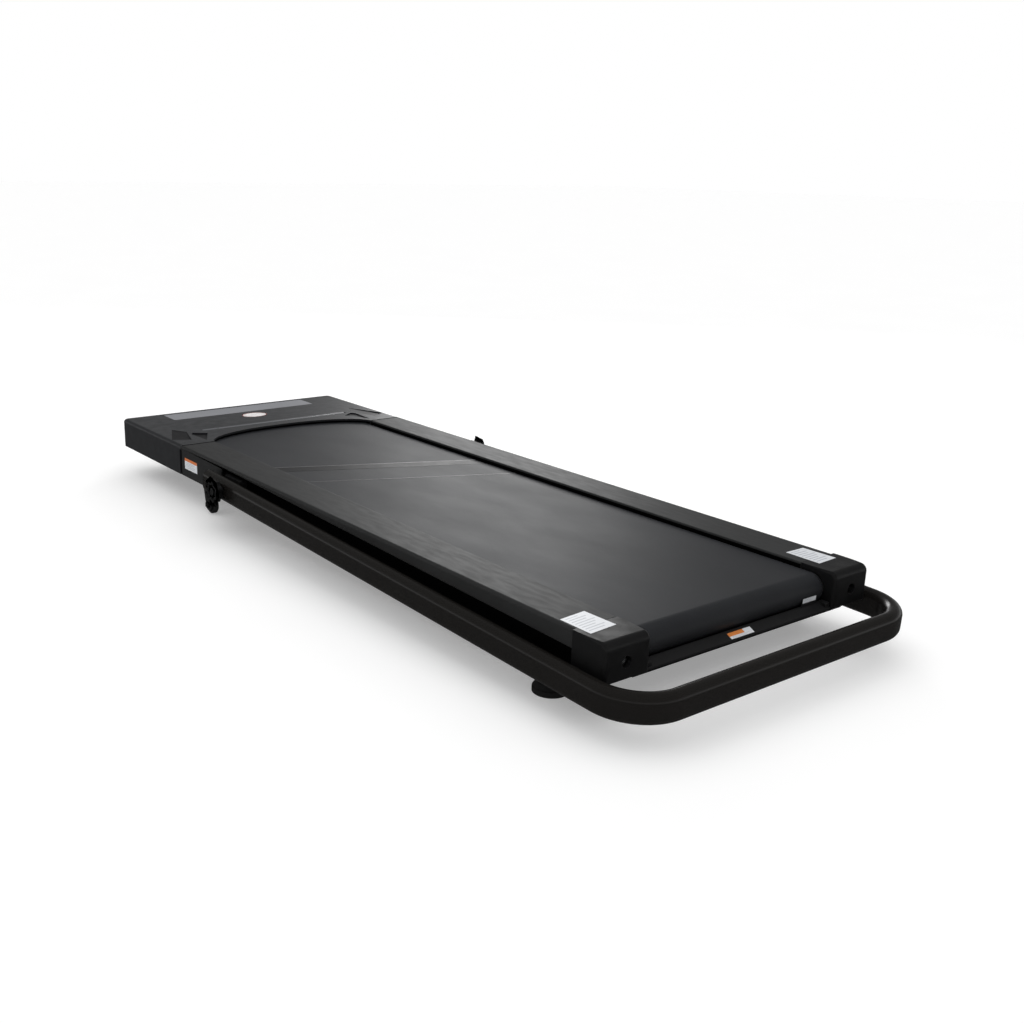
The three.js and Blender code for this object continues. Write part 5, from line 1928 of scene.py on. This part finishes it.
@dataclass
class Labels:
    """The plain stickers on the rails, the rear guard and its tag.

    The stickers on top are laid a little crooked. Their corners are in millimetres:
    across from the middle, and along from the end caps' rear faces.
    """

    thickness: float = 0.25 * MM
    tops: tuple[tuple[tuple[float, float], ...], ...] = (
        ((-259, 37), (-211, 41), (-213, 97), (-259, 93)),
        ((208, 42), (251, 44), (249, 101), (209, 102)),
    )
    side_span: tuple[float, float] = (1187 * MM, 1132 * MM)
    side_levels: tuple[float, float] = (73 * MM, 95 * MM)
    guard_span: tuple[float, float] = (-26 * MM, 21 * MM)
    guard_shares: tuple[float, float] = (0.1, 0.72)
    tag_margin: float = 2 * MM
    tag_levels: tuple[float, float] = (14 * MM, 20.5 * MM)

    def sticker(
        self, name: str, corners: Sequence[Sequence[float]], coat: Coat
    ) -> bpy.types.Object:
        """Lays a thin sticker on four corners, with its own map.

        Args:
            name: The sticker's name.
            corners: Its corners in the order lower left, lower right, upper right,
                upper left, as it is read.
            coat: Its finish.

        Returns:
            The sticker.
        """
        put_down()
        bpy.ops.mesh.primitive_plane_add(size=1)
        piece = settle(name)
        data = piece.data
        order = {(-1, -1): 0, (1, -1): 1, (1, 1): 2, (-1, 1): 3}
        bpy.ops.object.mode_set(mode="EDIT")
        bpy.ops.mesh.select_mode(type="VERT")
        goals = []
        mesh = bmesh.from_edit_mesh(data)
        for vertex in mesh.verts:
            key = (int(math.copysign(1, vertex.co.x)), int(math.copysign(1, vertex.co.y)))
            goals.append(Vector(corners[order[key]]))
        for index, goal in enumerate(goals):
            bpy.ops.mesh.select_all(action="DESELECT")
            mesh = bmesh.from_edit_mesh(data)
            mesh.verts.ensure_lookup_table()
            mesh.verts[index].select_set(True)
            bpy.ops.transform.translate(value=goal - mesh.verts[index].co)
        put_down()
        modifier = piece.modifiers.new("Paper", "SOLIDIFY")
        modifier.thickness = self.thickness
        modifier.offset = 1
        apply_modifier(piece, modifier)
        return place(piece, coat)

    def build(self) -> None:
        """Lays every sticker."""
        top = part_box("foot_rail_left")[1].z + 0.02 * MM
        caps_rear, cap_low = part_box("end_cap_left")[0].yz
        for side, shape in zip(Side, self.tops):
            corners = [(x * MM, caps_rear + y * MM, top) for x, y in shape]
            self.sticker(f"top_label_{side.word}", corners, Coat.LABEL)
        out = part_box("foot_rail_left")[0].x - 0.02 * MM
        first, last = (caps_rear + y for y in self.side_span)
        lower, upper = self.side_levels
        self.sticker(
            "side_label",
            [(out, first, lower), (out, last, lower), (out, last, upper), (out, first, upper)],
            Coat.TOP_BAND_LABEL,
        )
        bar_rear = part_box("rear_cross_member")[0].y
        self.build_tag_label(bar_rear, cap_low)
        self.build_guard_label(bar_rear, cap_low)

    def build_tag_label(self, bar_rear: float, cap_low: float) -> None:
        """Lays the sticker on the tag plate.

        Args:
            bar_rear: The rear bar's rear face.
            cap_low: The end caps' lower level.
        """
        back = bar_rear + TAG_BACK - 0.03 * MM
        left, right = TAG_SPAN[0] + self.tag_margin, TAG_SPAN[1] - self.tag_margin
        lower, upper = (cap_low + level for level in self.tag_levels)
        self.sticker(
            "tag_label",
            [(left, back, lower), (right, back, lower), (right, back, upper),
             (left, back, upper)],
            Coat.LABEL,
        )

    def build_guard_label(self, bar_rear: float, cap_low: float) -> None:
        """Lays the banded sticker on the guard's sloping face.

        Args:
            bar_rear: The rear bar's rear face.
            cap_low: The end caps' lower level.
        """
        start = Vector((0, bar_rear, cap_low + GUARD_LIP))
        end = Vector((0, bar_rear + GUARD_REACH, cap_low + GUARD_RISE))
        rise = end - start
        lift = Vector((0, -rise.z, rise.y)).normalized() * 0.03 * MM
        a, b = (start.lerp(end, share) + lift for share in self.guard_shares)
        left, right = self.guard_span
        self.sticker(
            "strip_label",
            [(left, a.y, a.z), (right, a.y, a.z), (right, b.y, b.z), (left, b.y, b.z)],
            Coat.BAND_LABEL,
        )


# ------------------------------------------------------------------ studio


@dataclass
class Studio:
    """The pale floor, the soft light and the camera."""

    lens: float = 40.6909  # millimetres, on the sensor's width
    yaw: float = 0.645714
    pitch: float = 0.292048
    roll: float = 0.021073
    place: tuple[float, float, float] = (-1.20805, -1.61653, 0.66635)
    shift: float = 0.0734
    sensor: float = 36.0
    bands: tuple[tuple[float, float], ...] = (
        (0.0, 0.06), (0.46, 0.08), (0.5, 0.75), (0.545, 0.5), (0.62, 0.13), (1.0, 0.1)
    )
    backdrop: float = 1.0
    overhead: float = 2.4
    overhead_spread: float = 110.0  # degrees across
    overhead_tilt: tuple[float, float] = (-5.0, 4.0)  # degrees about X and Y
    window_place: tuple[float, float, float] = (1.9, 2.1, 1.15)
    window_aim: tuple[float, float, float] = (0, 0, 0.1)
    window_side: float = 1.0
    window_power: float = 15.0
    glow: float = 0.3

    def build(self) -> None:
        """Builds the studio."""
        self.build_floor()
        self.build_light()
        self.build_camera()
        bpy.context.scene.view_settings.view_transform = "Standard"

    def build_floor(self) -> None:
        """Lays the floor."""
        put_down()
        bpy.ops.mesh.primitive_plane_add(size=60, location=(0, 0, -0.2 * MM))
        floor = settle("studio_floor")
        recipe = Recipe("studio_paper")
        recipe.link(
            recipe.ramp(recipe.noise(recipe.place, 3.0), shades((0.8, 0.8, 0.8), 0.01)),
            recipe.shader.inputs["Base Color"],
        )
        recipe.fix(Roughness=0.9, Specular_IOR_Level=0.1, Emission_Strength=self.glow)
        recipe.fix(Emission_Color=(1.0, 1.0, 1.0, 1.0))
        floor.data.materials.append(recipe.material)
        floor.visible_glossy = False

    def lamp(
        self, name: str, place: Sequence[float], aim: Sequence[float], size: float,
        power: float,
    ) -> None:
        """Hangs one soft square lamp.

        Args:
            name: Its name.
            place: Where it hangs.
            aim: What it points at.
            size: Its side.
            power: Its power in watts.
        """
        data = bpy.data.lights.new(name, "AREA")
        data.size = size
        data.energy = power
        lamp = bpy.data.objects.new(name, data)
        lamp.location = place
        way = Vector(aim) - Vector(place)
        lamp.rotation_euler = way.to_track_quat("-Z", "Y").to_euler()
        bpy.context.scene.collection.objects.link(lamp)

    def build_light(self) -> None:
        """Lights the room with a banded surround, a broad overhead sun and a window."""
        world = bpy.data.worlds.new("pale_room")
        bpy.context.scene.world = world
        world.use_nodes = True
        tree = world.node_tree
        back = tree.nodes["Background"]
        path = tree.nodes.new("ShaderNodeLightPath")
        height = tree.nodes.new("ShaderNodeSeparateXYZ")
        sky_place = tree.nodes.new("ShaderNodeTexCoord").outputs["Generated"]
        tree.links.new(sky_place, height.inputs[0])
        share = tree.nodes.new("ShaderNodeMapRange")
        share.inputs["From Min"].default_value = -1.0
        tree.links.new(height.outputs["Z"], share.inputs["Value"])
        band = tree.nodes.new("ShaderNodeValToRGB")
        stops = band.color_ramp.elements
        while len(stops) < len(self.bands):
            stops.new(1.0)
        for stop, (place, shade_level) in zip(stops, self.bands):
            stop.position = place
            stop.color = (shade_level, shade_level, shade_level, 1.0)
        tree.links.new(share.outputs["Result"], band.inputs["Fac"])
        level = tree.nodes.new("ShaderNodeMapRange")
        tree.links.new(band.outputs["Color"], level.inputs["To Min"])
        level.inputs["To Max"].default_value = self.backdrop
        tree.links.new(path.outputs["Is Camera Ray"], level.inputs["Value"])
        tree.links.new(level.outputs["Result"], back.inputs["Strength"])
        back.inputs["Color"].default_value = (1.0, 1.0, 1.0, 1.0)
        sky = bpy.data.lights.new("overhead", "SUN")
        sky.energy = self.overhead
        sky.angle = math.radians(self.overhead_spread)
        lamp = bpy.data.objects.new("overhead", sky)
        lamp.rotation_euler = (*(math.radians(tilt) for tilt in self.overhead_tilt), 0)
        lamp.visible_glossy = False
        bpy.context.scene.collection.objects.link(lamp)
        self.lamp("window", self.window_place, self.window_aim, self.window_side,
                  self.window_power)

    def build_camera(self) -> None:
        """Sets up the camera."""
        data = bpy.data.cameras.new("camera")
        data.sensor_width = self.sensor
        data.lens = self.lens
        data.shift_x = self.shift
        data.clip_start = 0.02
        camera = bpy.data.objects.new("camera", data)
        y, p, r = self.yaw, self.pitch, self.roll
        ahead = Vector((math.sin(y) * math.cos(p), math.cos(y) * math.cos(p), -math.sin(p)))
        right = Vector((math.cos(y), -math.sin(y), 0))
        up = right.cross(ahead)
        tilted_right = math.cos(r) * right + math.sin(r) * up
        tilted_up = -math.sin(r) * right + math.cos(r) * up
        turn = Matrix((tilted_right, tilted_up, -ahead)).transposed().to_4x4()
        camera.matrix_world = Matrix.Translation(self.place) @ turn
        bpy.context.scene.collection.objects.link(camera)
        bpy.context.scene.camera = camera


# ------------------------------------------------------------------ assembly


NODE_FINISH: dict[str, Coat] = {
    "front_roller": Coat.STEEL,
    "rear_roller": Coat.STEEL,
    "motor_rotor": Coat.STEEL,
    "motor_flywheel": Coat.STEEL,
    "motor_controller": Coat.STEEL,
    "motor_can": Coat.MOTOR,
    "display_board": Coat.CIRCUIT,
    "drive_belt": Coat.RUBBER,
    "front_axle": Coat.ZINC,
    "rear_axle": Coat.ZINC,
    "roller_pulley": Coat.ZINC,
    "motor_pulley": Coat.ZINC,
    "front_bearing_left": Coat.ZINC,
    "front_bearing_right": Coat.ZINC,
    "rear_bearing_left": Coat.ZINC,
    "rear_bearing_right": Coat.ZINC,
    "pivot_bush_left": Coat.ZINC,
    "pivot_bush_right": Coat.ZINC,
}


def dress_frame_nodes() -> None:
    """Gives every frame node that still shows its finish."""
    for name, node in frame["nodes"].items():
        if node.hide_render:
            continue
        coat = NODE_FINISH.get(name, Coat.FRAME)
        node.data.materials.clear()
        node.data.materials.append(coat.material())
        log.info("%s keeps its shape in %s", name, coat.value.name)


def main() -> None:
    """Builds the treadmill's looks."""
    logging.basicConfig(level=logging.INFO, format="%(message)s")
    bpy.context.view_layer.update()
    Studio().build()
    Hood().build()
    for side in Side:
        FootRail(side).build()
    WalkingBelt().build()
    Handrail().build()
    RunningGear().build()
    Chassis().build()
    Labels().build()
    dress_frame_nodes()
    put_down()


if __name__ == "__main__":
    main()
